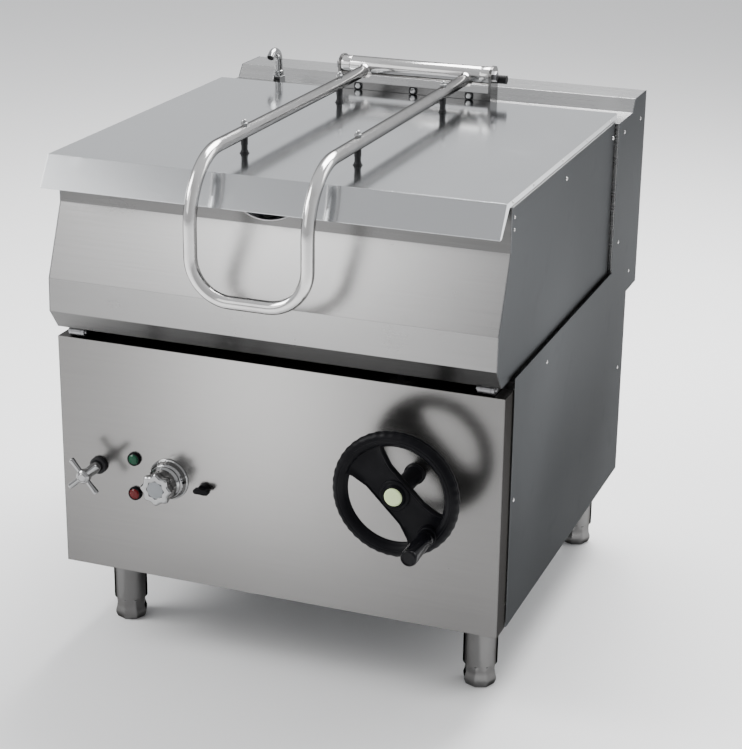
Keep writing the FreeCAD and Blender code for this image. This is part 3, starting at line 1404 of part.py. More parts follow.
def inlet_pipe():
    """Supply pipe from the threaded inlet at the back to the valve."""
    radius = size("pipe_radius")
    bend = size("pipe_bend")
    level = size("inlet_level")
    length = size("inlet_length")
    valve = Vector(size("valve_place"), bend, size("valve_level") - 2 * radius - 1)
    drop = Vector(valve.x, bend, level)
    joint = Vector(valve.x, size("cabinet_depth") - 0.4 * length, level)
    supply = pipe([valve, drop, joint], [bend], radius)
    nipple = rod(size("inlet_radius"), joint, joint + REAR * length)
    mouth = rod(radius, joint + REAR * (length / 2), joint + REAR * (length + 1))
    return feature("inlet_pipe", supply.fuse(nipple).cut(mouth))


def terminal_box():
    """Box on the frame's cross bar for the electrical connections."""
    piece = Piece("terminal_box")
    left = "terminal_inset - cabinet_width / 2"
    low = (left, "%f - terminal_depth / 2" % CROSS_DEPTH)
    high = (left + " + terminal_width", "%f + terminal_depth / 2" % CROSS_DEPTH)
    piece.pad(piece.rectangle("XY_Plane", low, high, FRAME_LOW + " + bar_size"), "terminal_height")
    piece.edges("Chamfer", "2", lambda edge: along(edge, "z"))
    return piece.done()


def cable_gland():
    """Gland in the rear panel that the supply lead goes through."""
    face = Vector(size("gland_place"), size("cabinet_depth"), size("gland_level"))
    bore = size("gland_bore")
    shank = bore + size("gland_wall")
    flange = bore + size("gland_flange")
    pieces = [
        rod(flange, face, face + REAR * 6),
        Part.makeCone(flange - 2, shank + 0.5, 14, face + REAR * 6, REAR),
        rod(flange, face - REAR * 6.5, face - REAR * size("sheet_gauge")),
    ]
    hole = rod(bore, face - REAR * 20, face + REAR * 40)
    body = rod(shank, face - REAR * 14, face + REAR * 8).fuse(pieces)
    return feature("cable_gland", body.cut(hole).removeSplitter())


def build():
    """Make every sub-part in turn."""
    front_panel()
    side_panel("side_panel_left", -1)
    side_panel("side_panel_right", 1)
    column_cover()
    rear_panel()
    column_back()
    bottom_panel()
    base_frame()
    leg_sleeves()
    for name, x, y in leg_places():
        adjustable_foot(name, x, y)
    pan_fascia()
    pan_side("pan_side_left", -1)
    pan_side("pan_side_right", 1)
    pan_base_cover()
    cooking_vessel()
    heating_elements()
    insulation_board()
    tilt_knuckles()
    tilt_brackets()
    rest_pads()
    tilt_quadrant()
    pinion_shaft()
    worm_wheel()
    worm_shaft()
    shaft_bushes()
    gear_bracket()
    handwheel()
    hub_cap()
    crank_spindle()
    crank_grip()
    drive_boss()
    thermostat()
    thermostat_knob()
    lamps()
    rotary_switch()
    water_valve()
    valve_handle()
    lid_shell()
    lid_liner()
    lid_handle()
    lid_hinge_tube()
    hinge_bushes()
    lid_hinge_axle()
    lid_hinge_bracket()
    lid_stop_buffer()
    handle_fixings()
    spout_fitting()
    water_spout()
    water_pipe()
    inlet_pipe()
    terminal_box()
    cable_gland()


def export():
    """Check every object and write each sub-part to its own file."""
    doc.recompute()
    for item in doc.Objects:
        if "Invalid" in item.State or "Error" in item.State:
            raise ValueError("%s failed: %s" % (item.Label, item.State))
    os.makedirs("parts", exist_ok=True)
    for item in parts:
        if item.Shape.isNull() or not item.Shape.isValid():
            raise ValueError("%s has no valid shape" % item.Label)
        item.Shape.exportStep("parts/%s.step" % item.Label)
    print("%d sub-parts written" % len(parts))


build()
export()
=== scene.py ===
import math

import bmesh
import bpy
import numpy as np
from mathutils import Matrix, Vector


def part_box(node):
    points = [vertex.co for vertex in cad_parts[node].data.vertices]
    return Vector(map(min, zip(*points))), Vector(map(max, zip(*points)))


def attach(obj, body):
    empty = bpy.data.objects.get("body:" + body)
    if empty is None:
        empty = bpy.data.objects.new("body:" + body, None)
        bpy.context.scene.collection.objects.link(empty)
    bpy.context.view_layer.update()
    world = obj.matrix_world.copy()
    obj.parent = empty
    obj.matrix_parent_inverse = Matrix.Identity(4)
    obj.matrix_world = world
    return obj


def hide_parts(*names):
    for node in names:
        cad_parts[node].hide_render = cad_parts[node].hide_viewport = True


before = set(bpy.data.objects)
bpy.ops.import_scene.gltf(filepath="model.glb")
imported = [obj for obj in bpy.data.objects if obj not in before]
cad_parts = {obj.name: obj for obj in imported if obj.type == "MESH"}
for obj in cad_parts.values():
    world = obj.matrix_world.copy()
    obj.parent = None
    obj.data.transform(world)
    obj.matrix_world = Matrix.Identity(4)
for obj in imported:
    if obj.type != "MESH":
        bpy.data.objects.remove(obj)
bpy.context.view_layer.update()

# Lengths are in metres. X runs right seen from the front, Y to the rear and Z up from the floor.
MM = 0.001


# Places read from the frame

def corners(node):
    """Lowest and highest corner of a node as arrays."""
    low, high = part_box(node)
    return np.array(low), np.array(high)


def centre(node):
    """Middle of a node's box."""
    low, high = corners(node)
    return (low + high) / 2


def rear_centre(node):
    """Middle of the rear face of a node's box."""
    low, high = corners(node)
    middle = (low + high) / 2
    middle[1] = high[1]
    return middle


PANEL_FACE = corners("front_panel")[0][1]
PAN_LOW, PAN_HIGH = corners("cooking_vessel")
LID_HIGH = corners("lid_shell")[1]
RIGHT = np.array([1.0, 0.0, 0.0])
BACK = np.array([0.0, 1.0, 0.0])
UP = np.array([0.0, 0.0, 1.0])
FRONT = -BACK


# Shader maths

class Value:
    """A socket whose arithmetic adds Math nodes."""

    def __init__(self, graph, socket):
        self.graph = graph
        self.socket = socket

    def math(self, operation, *others):
        """The operation on this value and the others, in that order."""
        inputs = dict(enumerate((self,) + others))
        return self.graph.add("ShaderNodeMath", {"operation": operation}, inputs)

    def __add__(self, other):
        return self.math("ADD", other)

    def __mul__(self, other):
        return self.math("MULTIPLY", other)

    def __sub__(self, other):
        return self.math("SUBTRACT", other)

    def __rsub__(self, other):
        return self.graph.add("ShaderNodeMath", {"operation": "SUBTRACT"}, {0: other, 1: self})

    def __pow__(self, other):
        return self.math("POWER", other)

    def clamp(self):
        """Cut off below 0 and above 1."""
        return self.math("MAXIMUM", 0.0).math("MINIMUM", 1.0)

    def above(self, start, end):
        """0 below start, 1 above end, straight between."""
        return ((self - start) * (1.0 / (end - start))).clamp()


class Graph:
    """The nodes of one material, or of the world."""

    def __init__(self, name, world=False):
        self.owner = bpy.data.worlds.new(name) if world else bpy.data.materials.new(name)
        self.owner.use_nodes = True
        self.tree = self.owner.node_tree
        self.shader = self.tree.nodes["Background" if world else "Principled BSDF"]

    def add(self, kind, settings=None, inputs=None, output=0):
        """A node with its settings, the values or links of its sockets, and one output."""
        node = self.tree.nodes.new(kind)
        for name, value in (settings or {}).items():
            setattr(node, name, value)
        for key, value in (inputs or {}).items():
            if isinstance(value, Value):
                self.tree.links.new(value.socket, node.inputs[key])
            else:
                node.inputs[key].default_value = value
        return Value(self, node.outputs[output])

    def place(self, scale=(1, 1, 1)):
        """Object coordinates stretched along each axis."""
        spot = self.add("ShaderNodeTexCoord", output="Object")
        return self.add("ShaderNodeVectorMath", {"operation": "MULTIPLY"}, {0: spot, 1: scale})

    def noise(self, scale, detail, stretch=(1, 1, 1)):
        """Noise of the given scale in object coordinates, from 0 to 1."""
        inputs = {"Vector": self.place(stretch), "Scale": scale, "Detail": detail}
        return self.add("ShaderNodeTexNoise", None, inputs)

    def mix(self, amount, low, high):
        """Colour between two colours."""
        node = {"data_type": "RGBA"}
        return self.add("ShaderNodeMix", node, {"Factor": amount, 6: low, 7: high}, output=2)

    def finish(self, **inputs):
        """Set or link the shader's sockets, written with underscores for spaces."""
        for name, value in inputs.items():
            socket = self.shader.inputs[name.replace("_", " ")]
            if isinstance(value, Value):
                self.tree.links.new(value.socket, socket)
            else:
                socket.default_value = value
        return self.owner

    def relief(self, height, strength, distance, edge=0.0):
        """Normal with a bump, over edges that look rounded by the given radius."""
        inputs = {"Height": height, "Strength": strength, "Distance": distance}
        if edge:
            inputs["Normal"] = self.add("ShaderNodeBevel", {"samples": 6}, {"Radius": edge})
        return self.add("ShaderNodeBump", None, inputs)


def grey(tone, warmth=0.0):
    """Neutral colour, warmer for a positive warmth and bluer for a negative one."""
    return (tone * (1 + warmth), tone, tone * (1 - warmth), 1.0)


def brushed_steel(name, tone, warmth, grain, roughness, cloud=0.1, cut=0.08, rise=0.0, rim=1.0,
                  painted_sheen=None, painted_shade_edges=None):
    """Satin stainless sheet: fine rolling lines, soft cloudy patches and faint handling marks.

    The grain gives how fast the lines change along each axis, small along the rolling direction.
    The cloud is how far the tone varies, as a share of it, and the cut is how deep the lines look.
    With a rise, the tone varies by that share instead and mostly grows lighter with the level, which is
    painted light: lighter higher up and darker towards the bottom. The rim is the tint at grazing angles,
    below 1 for a sheet whose film dulls it there. The painted highlight is a soft lighter patch standing
    in for the lights' reflection, 1 / (1 + x^2 + z^2)^1.5: its middle along X and Z, its reach along
    both, and how far the tone varies. It ends at the painted shade edges, given as a distance from the
    part's middle and a lowest and a highest level; past them the sheet is painted darker, as shade on
    its returns and bands."""
    seam = 1 * MM
    graph = Graph(name)
    lines = graph.noise(330.0, 3.0, grain)
    patches = graph.noise(2.1, 1.0)
    marks = graph.noise(15.0, 4.0).above(0.58, 0.8)
    blend = (lines * 0.22 + patches * 0.78).above(0.32, 0.68)
    # Painted light: the tone grows lighter higher up and darker towards the bottom.
    if rise:
        height = graph.add("ShaderNodeSeparateXYZ", None, {0: graph.place()}, "Z")
        blend = (blend * 0.3 + height.above(0.3, 0.9) * 0.7).clamp()
        cloud = rise
    # Painted highlight: a soft lighter patch in the base colour stands in for the reflection of the lights.
    # Past the given edge and levels the sheet is painted darker, as shade on the front sheet's side returns
    # and on the fascia's lowest and highest bands.
    if painted_sheen:
        middle_x, middle_z, reach_x, reach_z, cloud = painted_sheen
        edge_x, lowest, highest = painted_shade_edges
        place = graph.place()
        x = graph.add("ShaderNodeSeparateXYZ", None, {0: place})
        z = graph.add("ShaderNodeSeparateXYZ", None, {0: place}, "Z")
        across = (x - middle_x) * (1 / reach_x)
        height = (z - middle_z) * (1 / reach_z)
        highlight_field = (across * across + height * height + 1.0) ** -1.5
        highlight_area = z.above(lowest - seam / 2, lowest + seam / 2) * (1.0 - z.above(highest, highest + seam))
        highlight_area = highlight_area * (1.0 - x.math("ABSOLUTE").above(edge_x - seam * 1.5, edge_x - seam / 2))
        blend = (blend * 0.1 + (highlight_field * 0.8 + 0.1) * (highlight_area * 0.85 + 0.15)).clamp()
    colour = graph.mix(blend, grey(tone * (1 - cloud), warmth), grey(tone * (1 + cloud), warmth))
    rough = (lines - 0.5) * cut + (patches - 0.5) * 0.08 + marks * 0.04 + roughness
    return graph.finish(
        Base_Color=colour, Metallic=1.0, Roughness=rough.clamp(), Specular_Tint=(rim, rim, rim, 1),
        Normal=graph.relief(lines, cut, 0.3 * MM, 1.2 * MM))


def polished_steel(name, tone, roughness, wear=0.5, rim=1.0):
    """Bright drawn tube or turned metal with hairline scratches and dull spots. The wear is how much
    the spots roughen it, and the rim its tint at grazing angles."""
    graph = Graph(name)
    hair = graph.noise(420.0, 2.0, (0.4, 1, 1))
    dull = graph.noise(24.0, 3.0).above(0.5, 0.8)
    colour = graph.mix(dull, grey(tone, 0.01), grey(tone * 0.86, 0.02))
    rough = (hair - 0.5) * 0.08 + dull * 0.1 * wear + roughness
    return graph.finish(
        Base_Color=colour, Metallic=1.0, Roughness=rough.clamp(), Specular_Tint=(rim, rim, rim, 1),
        Normal=graph.relief(hair, 0.05, 0.2 * MM, 0.6 * MM))


def chrome_plate():
    """Mirror plating with a faint haze and tiny pits."""
    graph = Graph("chrome_plate")
    haze = graph.noise(30.0, 3.0)
    pits = graph.noise(900.0, 1.0).above(0.74, 0.8)
    colour = graph.mix(haze, grey(0.34), grey(0.28, -0.01))
    return graph.finish(
        Base_Color=colour, Metallic=1.0, Roughness=haze * 0.07 + pits * 0.2 + 0.05,
        Normal=graph.relief(pits, 0.05, 0.1 * MM, 0.5 * MM))


def moulded_plastic(name, colour, roughness=0.42, spread=0.25, gloss=0.5):
    """Moulded plastic with a fine leathery texture and rubbed patches, lighter by the spread."""
    graph = Graph(name)
    pebble = graph.add("ShaderNodeTexVoronoi", None, {"Vector": graph.place(), "Scale": 1400.0})
    rub = graph.noise(14.0, 3.0).above(0.45, 0.75)
    light = tuple(min(1.0, part * (1 + spread) + 0.004) for part in colour) + (1.0,)
    tint = graph.mix(rub, colour + (1.0,), light)
    return graph.finish(
        Base_Color=tint, Roughness=(rub * -0.1 + roughness).clamp(), Specular_IOR_Level=gloss,
        Normal=graph.relief(pebble, 0.15, 0.2 * MM, 0.8 * MM))


def rubber():
    """Matt black rubber with a dusty bloom."""
    graph = Graph("black_rubber_mix")
    bloom = graph.noise(60.0, 4.0)
    colour = graph.mix(bloom, (0.004, 0.004, 0.005, 1), (0.014, 0.014, 0.015, 1))
    return graph.finish(
        Base_Color=colour, Roughness=bloom * 0.2 + 0.5, Specular_IOR_Level=0.25,
        Normal=graph.relief(bloom, 0.2, 0.3 * MM, 0.6 * MM))


def lens_plastic(name, colour):
    """Tinted clear cap over a ribbed reflector, deeper in tone where it is thick."""
    graph = Graph(name)
    ribs = graph.noise(700.0, 1.0)
    deep = tuple(part * 0.35 for part in colour) + (1.0,)
    return graph.finish(
        Base_Color=graph.mix(ribs, deep, colour + (1.0,)), Roughness=0.16, Specular_IOR_Level=0.25,
        Normal=graph.relief(ribs, 0.2, 0.3 * MM, 0.5 * MM))


def coated_steel():
    """Grey coated bar steel with an orange peel surface."""
    graph = Graph("coated_steel")
    peel = graph.noise(500.0, 2.0)
    dust = graph.noise(9.0, 4.0)
    return graph.finish(
        Base_Color=graph.mix(dust, (0.16, 0.165, 0.17, 1), (0.24, 0.24, 0.24, 1)), Metallic=0.3,
        Roughness=dust * 0.2 + 0.45, Normal=graph.relief(peel, 0.2, 0.3 * MM, 1.2 * MM))


def machined_metal(name, colour):
    """Turned or milled metal with cutter rings and an oil film."""
    graph = Graph(name)
    rings = graph.noise(350.0, 2.0, (1, 0.3, 1))
    oil = graph.noise(11.0, 3.0)
    dark = tuple(part * 0.7 for part in colour) + (1.0,)
    return graph.finish(
        Base_Color=graph.mix(oil, dark, colour + (1.0,)), Metallic=1.0, Roughness=rings * 0.14 + 0.27,
        Normal=graph.relief(rings, 0.15, 0.3 * MM, 0.6 * MM))


def wool_board():
    """Yellowish mineral wool with a fibrous surface."""
    graph = Graph("wool_board")
    fibre = graph.noise(300.0, 5.0, (1, 1, 0.3))
    return graph.finish(
        Base_Color=graph.mix(fibre, (0.4, 0.36, 0.2, 1), (0.66, 0.62, 0.42, 1)), Roughness=0.95,
        Normal=graph.relief(fibre, 0.6, 2 * MM))


# Rolling directions of the sheets
VERTICAL = (1, 1, 0.02)
ACROSS = (0.02, 1, 1)
DEEP = (1, 0.02, 1)

# The stainless sheets are one steel in lit and shaded copies, their tones set per face from 0.64 on the lid
# down to 0.14 on the sides: painted light and painted shade.
MATERIALS = {
    "lid_sheet": brushed_steel("lid_sheet", 0.64, -0.02, DEEP, 0.13, cloud=0.03, cut=0.02),
    # Painted highlight in the middle of the front and fascia sheets, with painted shade on their returns and
    # outer bands.
    "front_sheet": brushed_steel("front_sheet", 0.27, 0.02, ACROSS, 0.24, cut=0.05, rim=0.3,
                                 painted_sheen=(-0.02, 0.66, 0.27, 0.6, 0.84), painted_shade_edges=(0.398, 0, 2)),
    "fascia_sheet": brushed_steel("fascia_sheet", 0.45, 0.01, ACROSS, 0.26, cut=0.05,
                                  painted_sheen=(0.02, 0.84, 0.31, 0.22, 0.86), painted_shade_edges=(1, 0.625, 0.802)),
    # Painted light on the side sheets: lighter higher up, darker towards the bottom.
    "side_sheet": brushed_steel("side_sheet", 0.14, -0.03, VERTICAL, 0.3, cut=0.06, rise=0.5, rim=0.3),
    "column_sheet": brushed_steel("column_sheet", 0.4, 0.0, ACROSS, 0.27, cut=0.05),
    "vessel_sheet": brushed_steel("vessel_sheet", 0.5, 0.0, ACROSS, 0.33),
    # The hinge strap and the legs and feet are darker copies of the bright tube's polished steel: painted
    # shade.
    "bracket_sheet": polished_steel("bracket_sheet", 0.16, 0.2),
    "leg_tube": polished_steel("leg_tube", 0.15, 0.09, 0.3, 0.0),
    "bright_tube": polished_steel("bright_tube", 0.68, 0.12, 0.5, 0.15),
    "dark_steel": machined_metal("dark_steel", (0.32, 0.32, 0.33)),
    "bronze": machined_metal("bronze", (0.62, 0.42, 0.2)),
    "chrome": chrome_plate(),
    "black_plastic": moulded_plastic("black_plastic", (0.002, 0.002, 0.003), 0.4, gloss=0.08),
    "gloss_black": moulded_plastic("gloss_black", (0.003, 0.003, 0.004), 0.14, gloss=0.12),
    "grey_plastic": moulded_plastic("grey_plastic", (0.17, 0.18, 0.19)),
    "cap_plastic": moulded_plastic("cap_plastic", (0.56, 0.68, 0.36), 0.5, 0.12),
    "rubber": rubber(),
    "green_lens": lens_plastic("green_lens", (0.003, 0.075, 0.034)),
    "red_lens": lens_plastic("red_lens", (0.15, 0.003, 0.005)),
    "coated_steel": coated_steel(),
    "wool_board": wool_board(),
}

# Which CAD nodes each material goes on
FINISH = {
    "lid_sheet": ("lid_shell", "lid_liner"),
    "front_sheet": ("front_panel",),
    "fascia_sheet": ("pan_fascia",),
    "side_sheet": ("side_panel_left", "side_panel_right", "pan_side_left", "pan_side_right", "bottom_panel"),
    "column_sheet": ("column_cover", "column_back", "rear_panel", "pan_base_cover"),
    "vessel_sheet": ("cooking_vessel",),
    "bracket_sheet": ("lid_hinge_bracket",),
    "leg_tube": ("leg_sleeves", "foot_front_left", "foot_front_right", "foot_rear_left", "foot_rear_right"),
    "bright_tube": ("lid_handle", "lid_hinge_tube"),
    "dark_steel": ("tilt_hinge_brackets", "pan_hinge_knuckles", "tilt_quadrant", "pinion_shaft", "worm_shaft",
                   "lid_hinge_axle", "heating_elements", "crank_spindle", "water_pipe"),
    "bronze": ("worm_wheel", "shaft_bushes", "hinge_bushes", "inlet_pipe"),
    "chrome": ("acorn_nuts", "thermostat_knob", "thermostat_collar", "valve_handle", "water_spout",
               "spout_fitting", "water_valve"),
    "black_plastic": ("handwheel", "drive_boss", "switch_knob", "lamp_bezels", "cable_gland"),
    "gloss_black": ("crank_grip",),
    "grey_plastic": ("thermostat_body", "switch_body", "terminal_box"),
    "cap_plastic": ("hub_cap",),
    "rubber": ("pan_rest_pads", "lid_stop_buffer", "handle_posts"),
    "green_lens": ("lamp_lens_green",),
    "red_lens": ("lamp_lens_red",),
    "coated_steel": ("base_frame", "gear_bracket"),
    "wool_board": ("insulation_board",),
}

for finish, nodes in FINISH.items():
    for node in nodes:
        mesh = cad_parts[node].data
        mesh.materials.clear()
        mesh.materials.append(MATERIALS[finish])


# Surfaces

def soften(outline, radius, steps=4):
    """Outline whose inner corners are rounded: each is replaced by the quadratic curve between
    two points at the given distance from it, on the runs to its neighbours. The distance never
    takes more than a fixed share of a run."""
    most = 0.45
    outline = np.asarray(outline, float)
    rounded = [outline[:1]]
    t = np.linspace(0, 1, steps + 1)[:, None]
    for before, corner, after in zip(outline[:-2], outline[1:-1], outline[2:]):
        back = before - corner
        ahead = after - corner
        reach = min(radius, most * np.linalg.norm(back), most * np.linalg.norm(ahead))
        start = corner + back / np.linalg.norm(back) * reach
        end = corner + ahead / np.linalg.norm(ahead) * reach
        rounded.append((1 - t) ** 2 * start + 2 * t * (1 - t) * corner + t ** 2 * end)
    rounded.append(outline[-1:])
    return np.vstack(rounded)


def turned(points, radius, steps=4):
    """Softened profile of a turned form, from points and a radius in millimetres."""
    return soften(np.array(points) * MM, radius * MM, steps)


def lathe(profile, count, wobble=None):
    """Grid of a turned form: radius r(k) and height h(k) of the profile, carried round at the
    angle a as (r cos a, r sin a, h). The wobble is a factor on the radius that depends on a and h."""
    profile = np.asarray(profile, float)
    angle = np.linspace(0, 2 * np.pi, count, endpoint=False)[None, :]
    radius = profile[:, :1] * np.ones_like(angle)
    height = profile[:, 1:] * np.ones_like(angle)
    if wobble is not None:
        radius = radius * wobble(angle, height)
    return np.stack([radius * np.cos(angle), radius * np.sin(angle), height], axis=-1)


def flats(count, top=math.inf, share=1.0):
    """Wobble that gives a turned form flat sides below the height top: at the angle a the radius is
    multiplied by share / cos(a'), where a' is the angle from the middle of a side."""
    half = np.pi / count
    return lambda a, h: np.where(h < top, share / np.cos(a % (2 * half) - half), 1.0)


def aimed(grid, origin, axis, start=None):
    """Grid moved so that its height runs along the axis from the origin, angle 0 towards start."""
    axis = np.asarray(axis, float) / np.linalg.norm(axis)
    if start is None:
        start = RIGHT if abs(axis[0]) < 0.9 else UP
    side = np.asarray(start, float) - np.dot(start, axis) * axis
    side = side / np.linalg.norm(side)
    other = np.cross(axis, side)
    return np.asarray(origin) + grid[..., :1] * side + grid[..., 1:2] * other + grid[..., 2:] * axis


def bent_path(points, bends, steps):
    """Points along straight runs that arcs of the given radii join. On each arc the point at the
    share s of the turn w is hub + (sin((1 - s) w) first + sin(s w) last) / sin w."""
    points = [np.asarray(point, float) for point in points]
    path = [points[0]]
    for index, bend in enumerate(bends, start=1):
        corner = points[index]
        back = points[index - 1] - corner
        ahead = points[index + 1] - corner
        back = back / np.linalg.norm(back)
        ahead = ahead / np.linalg.norm(ahead)
        half = math.acos(np.clip(np.dot(back, ahead), -1, 1)) / 2
        middle = (back + ahead) / np.linalg.norm(back + ahead)
        hub = corner + middle * bend / math.sin(half)
        first = corner + back * bend / math.tan(half) - hub
        last = corner + ahead * bend / math.tan(half) - hub
        turn = math.pi - 2 * half
        for part in np.linspace(0, 1, steps + 1):
            weight = np.sin((1 - part) * turn) * first + np.sin(part * turn) * last
            path.append(hub + weight / math.sin(turn))
    path.append(points[-1])
    return np.array(path)


def sweep(path, radius, count, ends=True):
    """Grid of a round tube along a path: the ring (r cos a, r sin a) stands square to the path,
    and its zero direction is carried on without twist. The radius may change along the path."""
    path = np.asarray(path, float)
    radius = np.broadcast_to(radius, (len(path),)).astype(float)
    tangent = np.gradient(path, axis=0)
    tangent = tangent / np.linalg.norm(tangent, axis=1, keepdims=True)
    seed = UP if abs(tangent[0][2]) < 0.9 else RIGHT
    sides = []
    side = seed - np.dot(seed, tangent[0]) * tangent[0]
    for direction in tangent:
        side = side - np.dot(side, direction) * direction
        side = side / np.linalg.norm(side)
        sides.append(side)
    sides = np.array(sides)
    others = np.cross(tangent, sides)
    angle = np.linspace(0, 2 * np.pi, count, endpoint=False)
    ring = sides[:, None] * np.cos(angle)[None, :, None] + others[:, None] * np.sin(angle)[None, :, None]
    grid = path[:, None] + ring * radius[:, None, None]
    if ends:
        first = np.repeat(path[:1, None], count, axis=1)
        last = np.repeat(path[-1:, None], count, axis=1)
        grid = np.vstack([first, grid, last])
    return grid


def quads(rows, columns, offset, wrap):
    """Corner numbers of the faces between neighbouring points of a grid."""
    row = np.arange(rows - 1)[:, None]
    column = np.arange(columns if wrap else columns - 1)[None, :]
    following = (column + 1) % columns
    faces = [row * columns + column, row * columns + following, (row + 1) * columns + following,
             (row + 1) * columns + column]
    return np.stack(faces, axis=-1).reshape(-1, 4) + offset


def piece(name, grids, body, material, wrap=True, stands_for=(), sharp=32):
    """One object from grids of points, with doubles merged, normals outward and crisp edges kept.

    It rides on the body. The CAD nodes that it stands for are hidden."""
    points = []
    faces = []
    offset = 0
    for grid in grids:
        rows, columns = grid.shape[:2]
        points.append(grid.reshape(-1, 3))
        faces.append(quads(rows, columns, offset, wrap))
        offset += rows * columns
    mesh = bpy.data.meshes.new(name)
    mesh.from_pydata(np.vstack(points).tolist(), [], np.vstack(faces).tolist())
    form = bmesh.new()
    form.from_mesh(mesh)
    bmesh.ops.remove_doubles(form, verts=form.verts, dist=1e-6)
    bmesh.ops.dissolve_degenerate(form, edges=form.edges, dist=1e-7)
    bmesh.ops.recalc_face_normals(form, faces=form.faces)
    form.to_mesh(mesh)
    form.free()
    mesh.polygons.foreach_set("use_smooth", np.ones(len(mesh.polygons), bool))
    mesh.set_sharp_from_angle(angle=math.radians(sharp))
    mesh.materials.append(MATERIALS[material])
    item = bpy.data.objects.new(name, mesh)
    bpy.context.scene.collection.objects.link(item)
    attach(item, body)
    if stands_for:
        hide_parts(*stands_for)


# Lid handle and hinge

def lid_handle():
    """Bent tube with welds where its arms meet the hinge tube."""
    low, high = corners("lid_handle")
    tube = 11 * MM
    x = high[0] - tube
    level = high[2] - tube
    front = low[1] + tube
    bottom = low[2] + tube
    rear = centre("lid_hinge_tube")[1] - 13 * MM
    knee = 108 * MM
    corner = 68 * MM
    arm = [(x, rear, level), (x, front, level), (x, front, bottom)]
    other = [(-a, b, c) for a, b, c in reversed(arm)]
    path = bent_path(arm + other, [knee, corner, corner, knee], 20)
    piece("handle_tube", [sweep(path, tube, 40)], "lid", "bright_tube", stands_for=["lid_handle"])
    profile = [(tube, 0), (tube + 0.7 * MM, 2 * MM), (tube + 2.2 * MM, 6 * MM), (tube + 4 * MM, 10 * MM),
               (tube - 4 * MM, 14 * MM)]
    ripple = lambda a, h: 1 + 0.02 * np.sin(14 * a) * (h > 1 * MM)
    weld = lathe(profile, 56, ripple)
    weld_start = rear - 9 * MM
    welds = [aimed(weld, np.array([side * x, weld_start, level]), BACK) for side in (-1, 1)]
    piece("handle_welds", welds, "lid", "bright_tube", sharp=60)


def hinge_tube():
    """Thick polished tube with a turned-down ring near each end."""
    low, high = corners("lid_hinge_tube")
    middle = (low + high) / 2
    radius = (high[2] - low[2]) / 2
    length = high[0] - low[0]
    bore = 14 * MM
    ring = 17 * MM
    groove, groove_width = 0.8 * MM, 1.2 * MM
    half = [(bore, 0), (radius, 0), (radius, ring), (radius - groove, ring),
            (radius - groove, ring + groove_width), (radius, ring + groove_width)]
    mirrored = [(r, length - h) for r, h in reversed(half)]
    profile = soften(half + mirrored, 0.6 * MM, 3)
    profile = np.vstack([profile, profile[:1]])
    start = middle - RIGHT * length / 2
    piece("hinge_barrel", [aimed(lathe(profile, 72), start, RIGHT)], "lid", "bright_tube",
          stands_for=["lid_hinge_tube"])


def handle_posts():
    """Black spacers with a flared foot and a dark washer, and acorn nuts on the tube."""
    low, high = corners("handle_posts")
    inset = 6 * MM
    end = high[2] - low[2] + 2 * MM
    sunk = 0.2 * MM
    seat = corners("acorn_nuts")[0][2] - 0.4 * MM
    body = soften([(0, 0), (6.8 * MM, 0), (6.8 * MM, 3 * MM), (5.4 * MM, 6 * MM), (5.4 * MM, 14 * MM),
                   (6 * MM, 15 * MM), (6 * MM, end), (0, end)], 0.8 * MM)
    washer = turned([(0, 0), (8.2, 0), (8.2, 1.2), (0, 1.2)], 0.4)
    nut = turned([(0, 0), (5.6, 0), (5.6, 5), (4.6, 5.4), (4.4, 8), (2.8, 10.4), (0, 11.2)], 0.7)
    places = [(x, y) for x in (low[0] + inset, high[0] - inset) for y in (low[1] + inset, high[1] - inset)]
    spacers = [aimed(lathe(body, 32), (x, y, low[2]), UP) for x, y in places]
    washers = [aimed(lathe(washer, 32), (x, y, low[2] - sunk), UP) for x, y in places]
    nuts = [aimed(lathe(nut, 48, flats(6, 5.2 * MM)), (x, y, seat), UP) for x, y in places]
    piece("post_spacers", spacers, "lid", "rubber", stands_for=["handle_posts"])
    piece("post_washers", washers, "lid", "rubber")
    piece("domed_nuts", nuts, "lid", "chrome", stands_for=["acorn_nuts"], sharp=25)


# Handwheel

def wheel_web(reach):
    """Waisted web as two grids, front and back. Half its width is 28 + 10 u + 17 v^2 mm, where the
    distance from the hub takes u from 0 to 1 between 40 and 74 mm, and v between 64 and 88 mm. Each
    lengthwise line ends on the circle of the rim, and the height across has a border ridge."""
    along = np.linspace(-1, 1, 81)[:, None]
    distance = np.abs(along) * reach
    widening = np.clip((distance - 40 * MM) / (34 * MM), 0, 1)
    flare = np.clip((distance - 64 * MM) / (24 * MM), 0, 1)
    half = 28 * MM + 10 * MM * widening + 17 * MM * flare ** 2
    cross = np.array([-1, -1, -0.97, -0.92, -0.87, -0.6, -0.3, 0, 0.3, 0.6, 0.87, 0.92, 0.97, 1, 1])[None, :]
    lift = np.array([0, 4.6, 6.4, 6.4, 4.4, 3.9, 3.8, 3.8, 3.8, 3.9, 4.4, 6.4, 6.4, 4.6, 0])[None, :] * MM
    across = half * cross
    length = np.sign(along) * np.minimum(distance, np.sqrt(np.maximum(reach ** 2 - across ** 2, 0)))
    turn = math.radians(-45)
    right = length * math.cos(turn) - across * math.sin(turn)
    up = length * math.sin(turn) + across * math.cos(turn)
    return [np.stack([right, up, face * lift * np.ones_like(across)], axis=-1) for face in (1, -1)]


